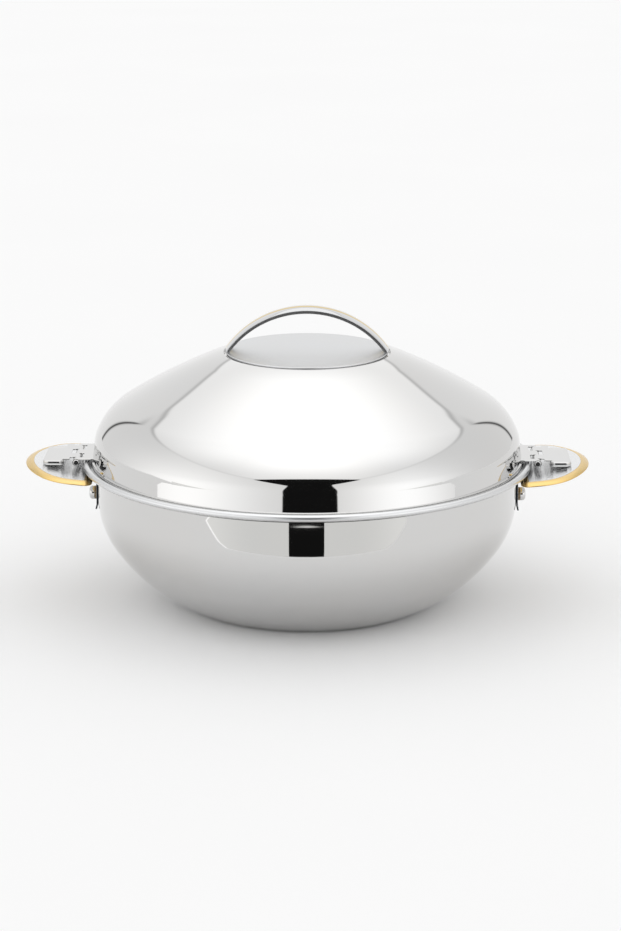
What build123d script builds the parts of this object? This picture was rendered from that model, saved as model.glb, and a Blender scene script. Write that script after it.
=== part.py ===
from build123d import *
import os
from math import acos, asin, atan2, cos, degrees, radians, sin, sqrt

# Insulated chapati casserole: a double-walled steel bowl and a double-walled steel lid, both
# filled with foam. Two elliptical plates riveted to the bowl are its handles, a strap is the
# lid's handle, and a hinged tongue at each side of the lid folds over a stud on the plate below.
# Millimetres. +Z is up, +X points through the right-hand handle, and the origin is on the
# table under the middle of the bowl. The pieces of the left side mirror those of the right.

os.makedirs("parts", exist_ok=True)

# ---- Driving dimensions ------------------------------------------------------------------

sheet = 0.8                     # thickness of the steel shells

# Bowl
rim_radius = 150.0              # outermost point of the rolled edge
ledge_height = 95.6             # top of the ledge that the lid stands on
wall_height = 24.3              # from there down to where the wall starts to turn in
shoulder_radius = 54.0
shoulder_turn = 34.4            # degrees turned on the shoulder radius
belly_reach = 58.7              # from the wall in to the edge of the base
ring_width = 10.3               # flat ring that the bowl stands on
base_ramp = 3.0                 # width of the slope inside that ring
base_recess = 1.2               # how far the middle of the base is raised
insulation = 10.0               # outer face of the outer bowl to hidden face of the inner bowl
floor_height = 10.0             # hidden face of the inner bowl's floor
mouth_rounding = 1.5            # inner bowl's edge where the lid drops in

# Rim of the bowl
bead_radius = 2.7               # rolled edge, outside
bead_rise = 0.3                 # its centre above the ledge
rim_overhang = 10.0             # rolled edge beyond the outer face of the bowl's upright wall
flare_radius = 3.0              # outer bowl's turn out under the ledge
flange_in_bead = 1.2            # how far the outer bowl's edge stops short of the bead's centre
curl_start = 200.0              # degrees round the bead where its sheet leaves the ledge
curl_end = 262.0                # and where the curl ends

# Foam plugs, in the base and in the lid
plug_radius = 6.0
plug_head_radius = 8.0
plug_head = 0.9
plug_stem = 3.0                 # how far the stem stands in the foam

# Side handles
handle_drop = 4.6               # ledge down to the top of the rolled rim where it meets the wall
handle_slope = 5.5              # degrees, rising outwards
handle_reach = 48.0             # wall to the tip
handle_bow = 35.7               # depth of the rounded end
handle_width = 103.0
handle_corner = 9.0             # the corners beside the wall
handle_side_radius = 27.0       # the tighter curve at each side of the rounded end
handle_rim_radius = 1.5         # rolled rim
handle_sheet = 1.2
handle_clearance = 0.2          # plate's straight edge to the wall
tab_width = 24.0
tab_length = 28.3               # from the rolled rim's top down
tab_flare = 0.9                 # how far the tab's lower edge stands off
tab_flare_height = 3.5
handle_lap = 1.5                # how far the tab reaches up past the plate's underside

# Handle rivets
rivet_drop = 19.7               # from the rolled rim's top down
rivet_head_radius = 4.55
rivet_head = 3.6
rivet_rounding = 2.2
rivet_shank_radius = 2.5
collar = 2.0
rivet_tail_radius = 4.0
rivet_tail = 1.5
rivet_tail_gap = 0.15           # tail's rim to the curved backing plate
backing_sheet = 1.2
backing_width = 30.0
backing_above = 12.0            # rivet up to its top edge
backing_below = 8.0

# Lid
lid_setback = 8.3               # lid's widest point inside the rim's outermost point
lid_gap = 0.3                   # lid's flange above the ledge
flange_gap = 0.5                # lid's flange to the rolled edge
skirt_height = 12.3             # ledge up to the top of the lid's upright skirt
skirt_radius = 17.6             # four tangent arcs from there up to the crown
skirt_angle = 20.5              # degrees above level at which each arc ends
lid_shoulder_radius = 41.7
lid_shoulder_angle = 57.8
slope_radius = 408.0
slope_angle = 66.4
crown_radius = 129.2
mouth_clearance = 1.0           # lid's plug ring inside the inner bowl
plug_ring = 5.9                 # depth of the ring below the lid's flange
plug_ring_web = 6.2             # width of the ring's bottom
ceiling_rise = 62.0             # inner lid's dome

# Cap in the middle of the lid, and the strap handle
crown_ring = 14.5               # crown's arc around the recess, seen from above
recess_depth = 2.45
cap_gap = 1.3                   # cap's edge to the recess
cap_rise = 0.85                 # cap's top above the lid's edge around it
strap_rise = 29.4               # strap's top above the cap
strap_gap = 1.1                 # strap's end to the recess's wall
strap_sheet = 2.3
strap_width = 20.0
strap_bend = 3.55               # outer radius where the strap turns in under the cap
strap_foot = 14.0
strap_clearance = 0.3
strap_rivet_inset = 7.0         # from the foot's end
strap_rivet_spacing = 10.0
strap_rivet_head_radius = 3.0
strap_rivet_head = 1.0
strap_rivet_radius = 1.6
strap_rivet_tail_radius = 2.8
strap_rivet_tail = 1.2

# Latches
bracket_sheet = 0.9
bracket_lift = 0.3              # bracket's plate above the rolled edge
bracket_half_width = 20.5
bracket_setback = 1.9           # inside of the leg, inside the lid flange's edge
foot_margin = 0.1               # bracket's foot inside the lid flange's edge
foot_clearance = 0.1            # bracket's foot to the lid's skirt
foot_angle = 23.5               # degrees each side
leg_sheet = 1.3
leg_inset = 1.0                 # leg's ends inside the plate's
knuckle_radius = 2.6
knuckle_gap_to_bead = 0.4
middle_knuckle = 5.5            # half width
end_knuckle = 16.0              # where the end knuckles start
knuckle_gap = 0.25
tongue_notch = 4.3              # room cut out of the bracket's plate for the turning tongue
pin_radius = 1.2
pin_clearance = 0.05
pin_head_radius = 2.0
pin_head = 1.0
foot_rivet_angle = 21.8
foot_rivet_radius = 0.6
foot_rivet_head_radius = 1.0
foot_rivet_head = 0.7

tongue_half_width = 20.0
tongue_start = 4.4              # hinge axis to the full-width strip
tongue_step = 8.3               # hinge axis to the finger tab
tongue_reach = 22.4
tongue_drop = 1.7               # tab's top below the strip's top
tongue_skirt = 2.7              # tab's height
tongue_corner = 4.0
tongue_edge = 0.7

stud_reach = 28.5               # wall to the stud
stud_radius = 2.2
stud_foot_radius = 3.4
stud_foot = 1.2
stud_head_radius = 3.0
stud_head = 1.2
stud_height = 3.4               # above the plate
stud_tail_radius = 3.2
stud_tail = 0.8

# ---- Places worked out from them ---------------------------------------------------------

wall_radius = rim_radius - rim_overhang
bead_centre = rim_radius - bead_radius
ledge_bottom = ledge_height - sheet
flare_start = ledge_bottom - sheet - flare_radius
bead_height = ledge_height + bead_rise
mouth_radius = wall_radius - insulation - sheet

shoulder_height = ledge_height - wall_height
shoulder_end = Vector(
    wall_radius - shoulder_radius + shoulder_radius * cos(radians(shoulder_turn)),
    shoulder_height - shoulder_radius * sin(radians(shoulder_turn)),
)
belly_chord = shoulder_end - Vector(wall_radius - belly_reach, 0)
belly_normal = Vector(cos(radians(shoulder_turn)), -sin(radians(shoulder_turn)))
belly_radius = belly_chord.dot(belly_chord) / (2 * belly_chord.dot(belly_normal))
belly_centre_height = shoulder_height + (belly_radius - shoulder_radius) * sin(radians(shoulder_turn))
base_ring = wall_radius - belly_reach - ring_width

lid_equator = ledge_height + skirt_height
lid_radius = rim_radius - lid_setback
flange_radius = rim_radius - 2 * bead_radius - flange_gap
flange_bottom = ledge_height + lid_gap
flange_joint = flange_bottom + sheet
flange_top = flange_joint + sheet
plug_ring_radius = mouth_radius - mouth_clearance
plug_ring_bottom = flange_bottom - plug_ring

lid_arcs = (
    (skirt_radius, skirt_angle),
    (lid_shoulder_radius, lid_shoulder_angle),
    (slope_radius, slope_angle),
)
crown_centre = lid_radius - skirt_radius
crown_centre_height = lid_equator
for (radius, angle), next_radius in zip(lid_arcs, (lid_shoulder_radius, slope_radius, crown_radius)):
    crown_centre += (radius - next_radius) * cos(radians(angle))
    crown_centre_height += (radius - next_radius) * sin(radians(angle))

recess_radius = crown_centre + crown_radius * cos(radians(slope_angle)) - crown_ring
recess_edge = crown_centre_height + sqrt(crown_radius**2 - (recess_radius - crown_centre) ** 2)
recess_floor = recess_edge - recess_depth
cap_radius = recess_radius - cap_gap
cap_top = recess_edge + cap_rise

strap_top = cap_top + strap_rise
strap_bend_x = recess_radius - strap_gap - strap_bend
strap_height = strap_top - recess_floor - strap_bend
strap_radius = (strap_bend_x**2 + strap_height**2 - strap_bend**2) / (2 * (strap_height - strap_bend))
strap_centre = strap_top - strap_radius
strap_end_angle = degrees(atan2(recess_floor + strap_bend - strap_centre, strap_bend_x))
strap_rivet_x = strap_bend_x - strap_foot + strap_rivet_inset

handle_height = ledge_height - handle_drop
rivet_height = handle_height - rivet_drop
tab_bottom = handle_height - tab_length
rivet_plane = Plane(origin=(0, 0, rivet_height), x_dir=(0, 1, 0), z_dir=(1, 0, 0))
tab_radius = wall_radius + handle_sheet
rivet_seat = tab_radius + collar

slope = radians(handle_slope)
handle_plane = Plane(
    origin=(wall_radius, 0, handle_height),
    x_dir=(cos(slope), 0, sin(slope)),
    z_dir=(-sin(slope), 0, cos(slope)),
)
handle_sheet_top = handle_sheet / 2 - handle_rim_radius

bracket_bottom = bead_height + bead_radius + bracket_lift
bracket_top = bracket_bottom + bracket_sheet
hinge_height = bracket_top - knuckle_radius
bead_spacing = bead_radius + knuckle_radius + knuckle_gap_to_bead
hinge_x = bead_centre + sqrt(bead_spacing**2 - (hinge_height - bead_height) ** 2)
bracket_foot_radius = flange_radius - foot_margin
foot_depth = bracket_foot_radius - lid_radius - foot_clearance


# ---- Outlines that several pieces share --------------------------------------------------

def upright(angle):
    """Upright plane through the Z axis, turned by `angle` degrees from +X."""
    turn = radians(angle)
    return Plane(origin=(0, 0, 0), x_dir=(cos(turn), sin(turn), 0), z_dir=(sin(turn), -cos(turn), 0))


def bowl_line(inset, top, bottom):
    """One face of the bowl's wall, `inset` inside its outer face; returns its two ends."""
    straight = Line((wall_radius - inset, top), (wall_radius - inset, shoulder_height))
    shoulder = JernArc(straight @ 1, (0, -1), shoulder_radius - inset, -shoulder_turn)
    last_angle = degrees(asin((belly_centre_height - bottom) / (belly_radius - inset)))
    belly = JernArc(shoulder @ 1, shoulder % 1, belly_radius - inset, shoulder_turn - last_angle)
    return straight @ 0, belly @ 1


def shoulder_line(inset, top, bottom):
    """The upper part of such a face, which ends on the shoulder; returns its two ends."""
    straight = Line((wall_radius - inset, top), (wall_radius - inset, shoulder_height))
    turn = degrees(asin((shoulder_height - bottom) / (shoulder_radius - inset)))
    shoulder = JernArc(straight @ 1, (0, -1), shoulder_radius - inset, -turn)
    return straight @ 0, shoulder @ 1


def lid_line(inset, bottom, last_radius):
    """One face of the lid, `inset` inside its outer face; returns its two ends."""
    skirt = Line((lid_radius - inset, bottom), (lid_radius - inset, lid_equator))
    arc = skirt
    angle = 0
    for radius, next_angle in lid_arcs:
        arc = JernArc(arc @ 1, arc % 1, radius - inset, next_angle - angle)
        angle = next_angle
    last_angle = degrees(acos((last_radius - crown_centre) / (crown_radius - inset)))
    arc = JernArc(arc @ 1, arc % 1, crown_radius - inset, last_angle - angle)
    return skirt @ 0, arc @ 1


def base_points(height):
    """Corners of one face of the recessed base, from the standing ring inwards."""
    return (base_ring, height), (base_ring - base_ramp, height + base_recess)


def ceiling_radius():
    """Radius of the inner lid's domed ceiling, on its visible side."""
    edge = plug_ring_radius - plug_ring_web
    return (edge**2 + ceiling_rise**2) / (2 * ceiling_rise)


def strap_line(depth):
    """One face of the strap from its top to a foot's end, `depth` below its outer face."""
    arch = JernArc((0, strap_top - depth), (1, 0), strap_radius - depth, strap_end_angle - 90)
    bend = JernArc(arch @ 1, arch % 1, strap_bend - depth, -90 - strap_end_angle)
    foot = Line(bend @ 1, (strap_bend_x - strap_foot, (bend @ 1).Y))
    return arch @ 0, foot @ 1


def handle_outline(inset):
    """Closed outline of the side handle in its own plane, from the corner on the +Y side."""
    side = handle_width / 2 - inset
    bow = handle_bow - inset
    side_arc = handle_side_radius - inset
    tip_arc = (bow**2 + side**2 - 2 * side * side_arc) / (2 * (bow - side_arc))
    side_turn = 90 - degrees(atan2(side - side_arc, tip_arc - bow))
    rounded_from = handle_reach - handle_bow
    corner = handle_corner - inset
    wall_edge = handle_clearance + inset
    far = Line((wall_edge + corner, side), (rounded_from, side))
    first = JernArc(far @ 1, (1, 0), side_arc, -side_turn)
    tip = JernArc(first @ 1, first % 1, tip_arc, 2 * side_turn - 180)
    second = JernArc(tip @ 1, tip % 1, side_arc, -side_turn)
    near = Line(second @ 1, (wall_edge + corner, -side))
    near_corner = JernArc(near @ 1, (-1, 0), corner, -90)
    straight_edge = Line(near_corner @ 1, (wall_edge, side - corner))
    JernArc(straight_edge @ 1, (0, 1), corner, -90)


# ---- Outer bowl --------------------------------------------------------------------------

with BuildPart() as outer_bowl:
    with BuildSketch(Plane.XZ):
        with BuildLine():
            outer_top, outer_foot = bowl_line(0, flare_start, 0)
            inner_top, inner_foot = bowl_line(sheet, flare_start, sheet)
            outer_flare = JernArc(outer_top, (0, 1), flare_radius, -90)
            inner_flare = JernArc(inner_top, (0, 1), flare_radius + sheet, -90)
            edge = bead_centre - flange_in_bead
            Polyline(outer_flare @ 1, (edge, ledge_bottom - sheet), (edge, ledge_bottom), inner_flare @ 1)
            Polyline(
                outer_foot,
                *base_points(0),
                (plug_radius, base_recess),
                (plug_radius, base_recess + sheet),
                *reversed(base_points(sheet)),
                inner_foot,
            )
        make_face()
    revolve(axis=Axis.Z)
    with BuildSketch(rivet_plane):
        Circle(rivet_shank_radius)
    extrude(amount=rim_radius, both=True, mode=Mode.SUBTRACT)
outer_bowl.part.label = "outer_bowl"

# ---- Inner bowl, with the ledge and the rolled edge --------------------------------------

with BuildPart() as inner_bowl:
    with BuildSketch(Plane.XZ):
        with BuildLine():
            hidden_top, hidden_foot = bowl_line(insulation, ledge_bottom, floor_height)
            visible_top, visible_foot = bowl_line(
                insulation + sheet, ledge_height - mouth_rounding, floor_height + sheet
            )
            mouth = JernArc(visible_top, (0, 1), mouth_rounding, -90)
            ledge_end = bead_centre - bead_radius + sheet
            Polyline(mouth @ 1, (ledge_end, ledge_height), (ledge_end, ledge_bottom), hidden_top)
            Polyline(visible_foot, (0, floor_height + sheet), (0, floor_height), hidden_foot)
        make_face()
    revolve(axis=Axis.Z)
    with BuildSketch(Plane.XZ):
        with Locations((bead_centre, bead_height)):
            Circle(bead_radius)
            Circle(bead_radius - sheet, mode=Mode.SUBTRACT)
        with BuildLine():
            middle = Vector(bead_centre, bead_height)
            mouth_of_curl = [
                middle + Vector(3 * bead_radius, 0).rotate(Axis.Z, angle)
                for angle in (curl_start, curl_end)
            ]
            Polyline(middle, *mouth_of_curl, close=True)
        make_face(mode=Mode.SUBTRACT)
    revolve(axis=Axis.Z)
inner_bowl.part.label = "inner_bowl"

# ---- Plug that closes the hole through which the bowl was foamed -------------------------

with BuildPart() as foam_plug:
    with BuildSketch(Plane.XY.offset(base_recess - plug_head)):
        Circle(plug_head_radius)
    extrude(amount=plug_head)
    with BuildSketch(Plane.XY.offset(base_recess)):
        Circle(plug_radius)
    extrude(amount=sheet + plug_stem)
foam_plug.part.label = "foam_plug"

# ---- Right side handle: plate, rolled rim and tab ----------------------------------------

with BuildPart() as right_handle_plate:
    with BuildSketch(handle_plane.offset(handle_sheet_top - handle_sheet)):
        with BuildLine():
            handle_outline(handle_rim_radius)
        make_face()
    extrude(amount=handle_sheet)
    with BuildLine(handle_plane.offset(-handle_rim_radius)) as rim_path:
        handle_outline(handle_rim_radius)
    with BuildSketch(rim_path.line ^ 0):
        Circle(handle_rim_radius)
    sweep()
    half_tab = degrees(asin(tab_width / 2 / wall_radius))
    with BuildSketch(upright(-half_tab)):
        with BuildLine():
            tab_top = handle_height + handle_sheet_top - handle_sheet + handle_lap
            flare_top = tab_bottom + tab_flare_height
            Polyline(
                (wall_radius, tab_top),
                (wall_radius, flare_top),
                (wall_radius + tab_flare, tab_bottom),
                (tab_radius + tab_flare, tab_bottom),
                (tab_radius, flare_top),
                (tab_radius, tab_top),
                close=True,
            )
        make_face()
    revolve(axis=Axis.Z, revolution_arc=2 * half_tab)
    with BuildSketch(rivet_plane):
        Circle(rivet_shank_radius)
    extrude(amount=2 * rim_radius, mode=Mode.SUBTRACT)
    with BuildSketch(handle_plane.offset(-2 * handle_rim_radius)):
        with Locations((stud_reach, 0)):
            Circle(stud_radius)
    extrude(amount=2 * handle_rim_radius, mode=Mode.SUBTRACT)
right_handle_plate.part.label = "right_handle_plate"

# ---- Right handle rivet, its collar and the plate behind it in the foam ------------------

with BuildPart() as right_rivet_collar:
    with BuildSketch(rivet_plane.offset(wall_radius)):
        Circle(rivet_head_radius)
        Circle(rivet_shank_radius, mode=Mode.SUBTRACT)
    extrude(amount=rivet_seat - wall_radius)
    with BuildSketch(Plane.XY):
        Circle(tab_radius)
    extrude(amount=rim_radius, mode=Mode.SUBTRACT)
right_rivet_collar.part.label = "right_rivet_collar"

with BuildPart() as right_backing_plate:
    half_backing = degrees(asin(backing_width / 2 / wall_radius))
    with BuildSketch(upright(-half_backing)):
        with BuildLine():
            backing_ends = (rivet_height + backing_above, rivet_height - backing_below)
            wall_side = shoulder_line(sheet, *backing_ends)
            foam_side = shoulder_line(sheet + backing_sheet, *backing_ends)
            Line(wall_side[0], foam_side[0])
            Line(wall_side[1], foam_side[1])
        make_face()
    revolve(axis=Axis.Z, revolution_arc=2 * half_backing)
    with BuildSketch(rivet_plane):
        Circle(rivet_shank_radius)
    extrude(amount=rim_radius, mode=Mode.SUBTRACT)
right_backing_plate.part.label = "right_backing_plate"

with BuildPart() as right_handle_rivet:
    backing_face = wall_radius - sheet - backing_sheet
    tail_seat = sqrt(backing_face**2 - rivet_tail_radius**2) - rivet_tail_gap
    with BuildSketch(rivet_plane.offset(tail_seat - rivet_tail)):
        Circle(rivet_tail_radius)
    extrude(amount=rivet_tail)
    with BuildSketch(rivet_plane.offset(tail_seat)):
        Circle(rivet_shank_radius)
    extrude(amount=rivet_seat - tail_seat)
    with BuildSketch(rivet_plane.offset(rivet_seat)):
        Circle(rivet_head_radius)
    extrude(amount=rivet_head)
    fillet(right_handle_rivet.edges().group_by(Axis.X)[-1], radius=rivet_rounding)
right_handle_rivet.part.label = "right_handle_rivet"

# ---- Right catch stud, which stands on the handle inside the closed tongue ---------------

with BuildPart() as right_catch_stud:
    stud_levels = (
        (handle_sheet_top - handle_sheet - stud_tail, stud_tail, stud_tail_radius),
        (handle_sheet_top - handle_sheet, handle_sheet, stud_radius),
        (handle_sheet_top, stud_foot, stud_foot_radius),
        (handle_sheet_top + stud_foot, stud_height - stud_foot - stud_head, stud_radius),
        (handle_sheet_top + stud_height - stud_head, stud_head, stud_head_radius),
    )
    for level, height, radius in stud_levels:
        with BuildSketch(handle_plane.offset(level)):
            with Locations((stud_reach, 0)):
                Circle(radius)
        extrude(amount=height)
right_catch_stud.part.label = "right_catch_stud"

# ---- Outer lid ---------------------------------------------------------------------------

with BuildPart() as lid_outer:
    with BuildSketch(Plane.XZ):
        with BuildLine():
            skirt_foot, crown_end = lid_line(0, flange_top, recess_radius)
            hidden_skirt_foot, hidden_crown_end = lid_line(sheet, flange_joint, recess_radius + sheet)
            Polyline(
                skirt_foot, (flange_radius, flange_top), (flange_radius, flange_joint), hidden_skirt_foot
            )
            Polyline(
                crown_end,
                (recess_radius, recess_floor),
                (plug_radius, recess_floor),
                (plug_radius, recess_floor - sheet),
                (recess_radius + sheet, recess_floor - sheet),
                hidden_crown_end,
            )
        make_face()
    revolve(axis=Axis.Z)
    strap_rivet_places = GridLocations(2 * strap_rivet_x, strap_rivet_spacing, 2, 2)
    with BuildSketch(Plane.XY.offset(recess_floor - sheet)):
        with strap_rivet_places:
            Circle(strap_rivet_radius)
    extrude(amount=sheet, mode=Mode.SUBTRACT)
    with BuildSketch(Plane.XY.offset(flange_joint)):
        with PolarLocations(bracket_foot_radius - foot_depth / 2, 2, foot_rivet_angle):
            Circle(foot_rivet_radius)
        with PolarLocations(bracket_foot_radius - foot_depth / 2, 2, -foot_rivet_angle):
            Circle(foot_rivet_radius)
    extrude(amount=sheet, mode=Mode.SUBTRACT)
lid_outer.part.label = "lid_outer"

# ---- Inner lid: flange, plug ring and domed ceiling --------------------------------------

with BuildPart() as lid_inner:
    with BuildSketch(Plane.XZ):
        with BuildLine():
            web_edge = plug_ring_radius - plug_ring_web
            curve = ceiling_radius()
            ceiling_top = plug_ring_bottom + ceiling_rise
            hidden_edge = sqrt((curve + sheet) ** 2 - (curve - ceiling_rise + sheet) ** 2)
            ceiling = RadiusArc((web_edge, plug_ring_bottom), (0, ceiling_top), -curve)
            hidden = RadiusArc(
                (hidden_edge, plug_ring_bottom + sheet), (0, ceiling_top + sheet), -(curve + sheet)
            )
            Line(ceiling @ 1, hidden @ 1)
            Polyline(
                ceiling @ 0,
                (plug_ring_radius, plug_ring_bottom),
                (plug_ring_radius, flange_bottom),
                (flange_radius, flange_bottom),
                (flange_radius, flange_joint),
                (plug_ring_radius - sheet, flange_joint),
                (plug_ring_radius - sheet, plug_ring_bottom + sheet),
                hidden @ 0,
            )
        make_face()
    revolve(axis=Axis.Z)
    with BuildSketch(Plane.XY.offset(flange_bottom)):
        with PolarLocations(bracket_foot_radius - foot_depth / 2, 2, foot_rivet_angle):
            Circle(foot_rivet_radius)
        with PolarLocations(bracket_foot_radius - foot_depth / 2, 2, -foot_rivet_angle):
            Circle(foot_rivet_radius)
    extrude(amount=sheet, mode=Mode.SUBTRACT)
lid_inner.part.label = "lid_inner"

# ---- Plug of the lid's foam, hidden by the cap -------------------------------------------

with BuildPart() as lid_foam_plug:
    with BuildSketch(Plane.XY.offset(recess_floor)):
        Circle(plug_head_radius)
    extrude(amount=plug_head)
    with BuildSketch(Plane.XY.offset(recess_floor)):
        Circle(plug_radius)
    extrude(amount=-(sheet + plug_stem))
lid_foam_plug.part.label = "lid_foam_plug"

# ---- Strap handle and its four flush rivets ----------------------------------------------

with BuildPart() as lid_handle:
    with BuildSketch(Plane.XZ):
        with BuildLine():
            outside = strap_line(0)
            inside = strap_line(strap_sheet)
            Line(outside[0], inside[0])
            Line(outside[1], inside[1])
        make_face()
    extrude(amount=strap_width / 2, both=True)
    mirror(about=Plane.YZ)
    with BuildSketch(Plane.XY.offset(recess_floor)):
        with strap_rivet_places:
            Circle(strap_rivet_radius)
    extrude(amount=strap_sheet, mode=Mode.SUBTRACT)
    with BuildSketch(Plane.XY.offset(recess_floor + strap_sheet - strap_rivet_head)):
        with strap_rivet_places:
            Circle(strap_rivet_head_radius)
    extrude(amount=strap_rivet_head, mode=Mode.SUBTRACT)
lid_handle.part.label = "lid_handle"

with BuildPart() as lid_handle_rivets:
    shank_bottom = recess_floor - sheet
    rivet_levels = (
        (shank_bottom - strap_rivet_tail, strap_rivet_tail, strap_rivet_tail_radius),
        (shank_bottom, sheet + strap_sheet - strap_rivet_head, strap_rivet_radius),
        (recess_floor + strap_sheet - strap_rivet_head, strap_rivet_head, strap_rivet_head_radius),
    )
    for level, height, radius in rivet_levels:
        with BuildSketch(Plane.XY.offset(level)):
            with strap_rivet_places:
                Circle(radius)
        extrude(amount=height)
lid_handle_rivets.part.label = "lid_handle_rivets"

# ---- Cap that covers the strap's feet ----------------------------------------------------

with BuildPart() as lid_cap:
    with BuildSketch(Plane.XY.offset(recess_floor)):
        Circle(cap_radius)
    extrude(amount=cap_top - recess_floor)
    with BuildSketch(Plane.XY.offset(recess_floor)):
        Circle(cap_radius - sheet)
    extrude(amount=cap_top - recess_floor - sheet, mode=Mode.SUBTRACT)
    notch_inner = strap_bend_x + strap_bend - strap_sheet - 3 * strap_clearance
    with BuildSketch(Plane.XY.offset(recess_floor)):
        Rectangle(2 * recess_radius, strap_width + 2 * strap_clearance)
        Rectangle(2 * notch_inner, strap_width + 2 * strap_clearance, mode=Mode.SUBTRACT)
    extrude(amount=cap_top - recess_floor, mode=Mode.SUBTRACT)
lid_cap.part.label = "lid_cap"

# ---- Right latch bracket, riveted to the lid's flange ------------------------------------

with BuildPart() as right_latch_bracket:
    with BuildSketch(upright(-foot_angle)):
        with Locations((bracket_foot_radius, flange_top)):
            Rectangle(foot_depth, bracket_sheet, align=(Align.MAX, Align.MIN))
    revolve(axis=Axis.Z, revolution_arc=2 * foot_angle)
    half_leg = degrees(asin((bracket_half_width - leg_inset) / bracket_foot_radius))
    foot_top = flange_top + bracket_sheet
    with BuildSketch(upright(-half_leg)):
        with Locations((bracket_foot_radius, foot_top)):
            Rectangle(leg_sheet, bracket_bottom - foot_top, align=(Align.MAX, Align.MIN))
    revolve(axis=Axis.Z, revolution_arc=2 * half_leg)
    with BuildSketch(Plane.XY.offset(bracket_bottom)):
        with Locations((hinge_x, 0)):
            Rectangle(rim_overhang + lid_setback, 2 * bracket_half_width, align=(Align.MAX, Align.CENTER))
        Circle(bracket_foot_radius - leg_sheet, mode=Mode.SUBTRACT)
        for side in (-1, 1):
            with Locations((hinge_x, side * (middle_knuckle + end_knuckle) / 2)):
                Rectangle(
                    2 * tongue_notch, end_knuckle - middle_knuckle + 2 * knuckle_gap, mode=Mode.SUBTRACT
                )
    extrude(amount=bracket_sheet)
    for start, end in (
        (-bracket_half_width, -end_knuckle - knuckle_gap),
        (-middle_knuckle + knuckle_gap, middle_knuckle - knuckle_gap),
        (end_knuckle + knuckle_gap, bracket_half_width),
    ):
        with BuildSketch(Plane(origin=(hinge_x, start, hinge_height), z_dir=(0, 1, 0))):
            Circle(knuckle_radius)
        extrude(amount=end - start)
    with BuildSketch(Plane(origin=(hinge_x, 0, hinge_height), z_dir=(0, 1, 0))):
        Circle(pin_radius)
    extrude(amount=bracket_half_width, both=True, mode=Mode.SUBTRACT)
    with BuildSketch(Plane.XY.offset(flange_top)):
        for angle in (-foot_rivet_angle, foot_rivet_angle):
            with PolarLocations(bracket_foot_radius - foot_depth / 2, 1, angle):
                Circle(foot_rivet_radius)
    extrude(amount=bracket_sheet, mode=Mode.SUBTRACT)
right_latch_bracket.part.label = "right_latch_bracket"

with BuildPart() as right_bracket_rivets:
    rivet_levels = (
        (flange_bottom, 2 * sheet + bracket_sheet, foot_rivet_radius),
        (flange_top + bracket_sheet, foot_rivet_head, foot_rivet_head_radius),
    )
    for level, height, radius in rivet_levels:
        with BuildSketch(Plane.XY.offset(level)):
            for angle in (-foot_rivet_angle, foot_rivet_angle):
                with PolarLocations(bracket_foot_radius - foot_depth / 2, 1, angle):
                    Circle(radius)
        extrude(amount=height)
    fillet(right_bracket_rivets.edges().group_by(Axis.Z)[-1], radius=foot_rivet_head / 2)
right_bracket_rivets.part.label = "right_bracket_rivets"

with BuildPart() as right_hinge_pin:
    hinge_plane = Plane(origin=(hinge_x, 0, hinge_height), z_dir=(0, 1, 0))
    with BuildSketch(hinge_plane):
        Circle(pin_radius)
    extrude(amount=bracket_half_width, both=True)
    for side in (-1, 1):
        with BuildSketch(hinge_plane.offset(side * bracket_half_width)):
            Circle(pin_head_radius)
        extrude(amount=side * pin_head)
right_hinge_pin.part.label = "right_hinge_pin"

# ---- Right latch tongue: two knuckles, a strip and a hollow finger tab -------------------

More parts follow.
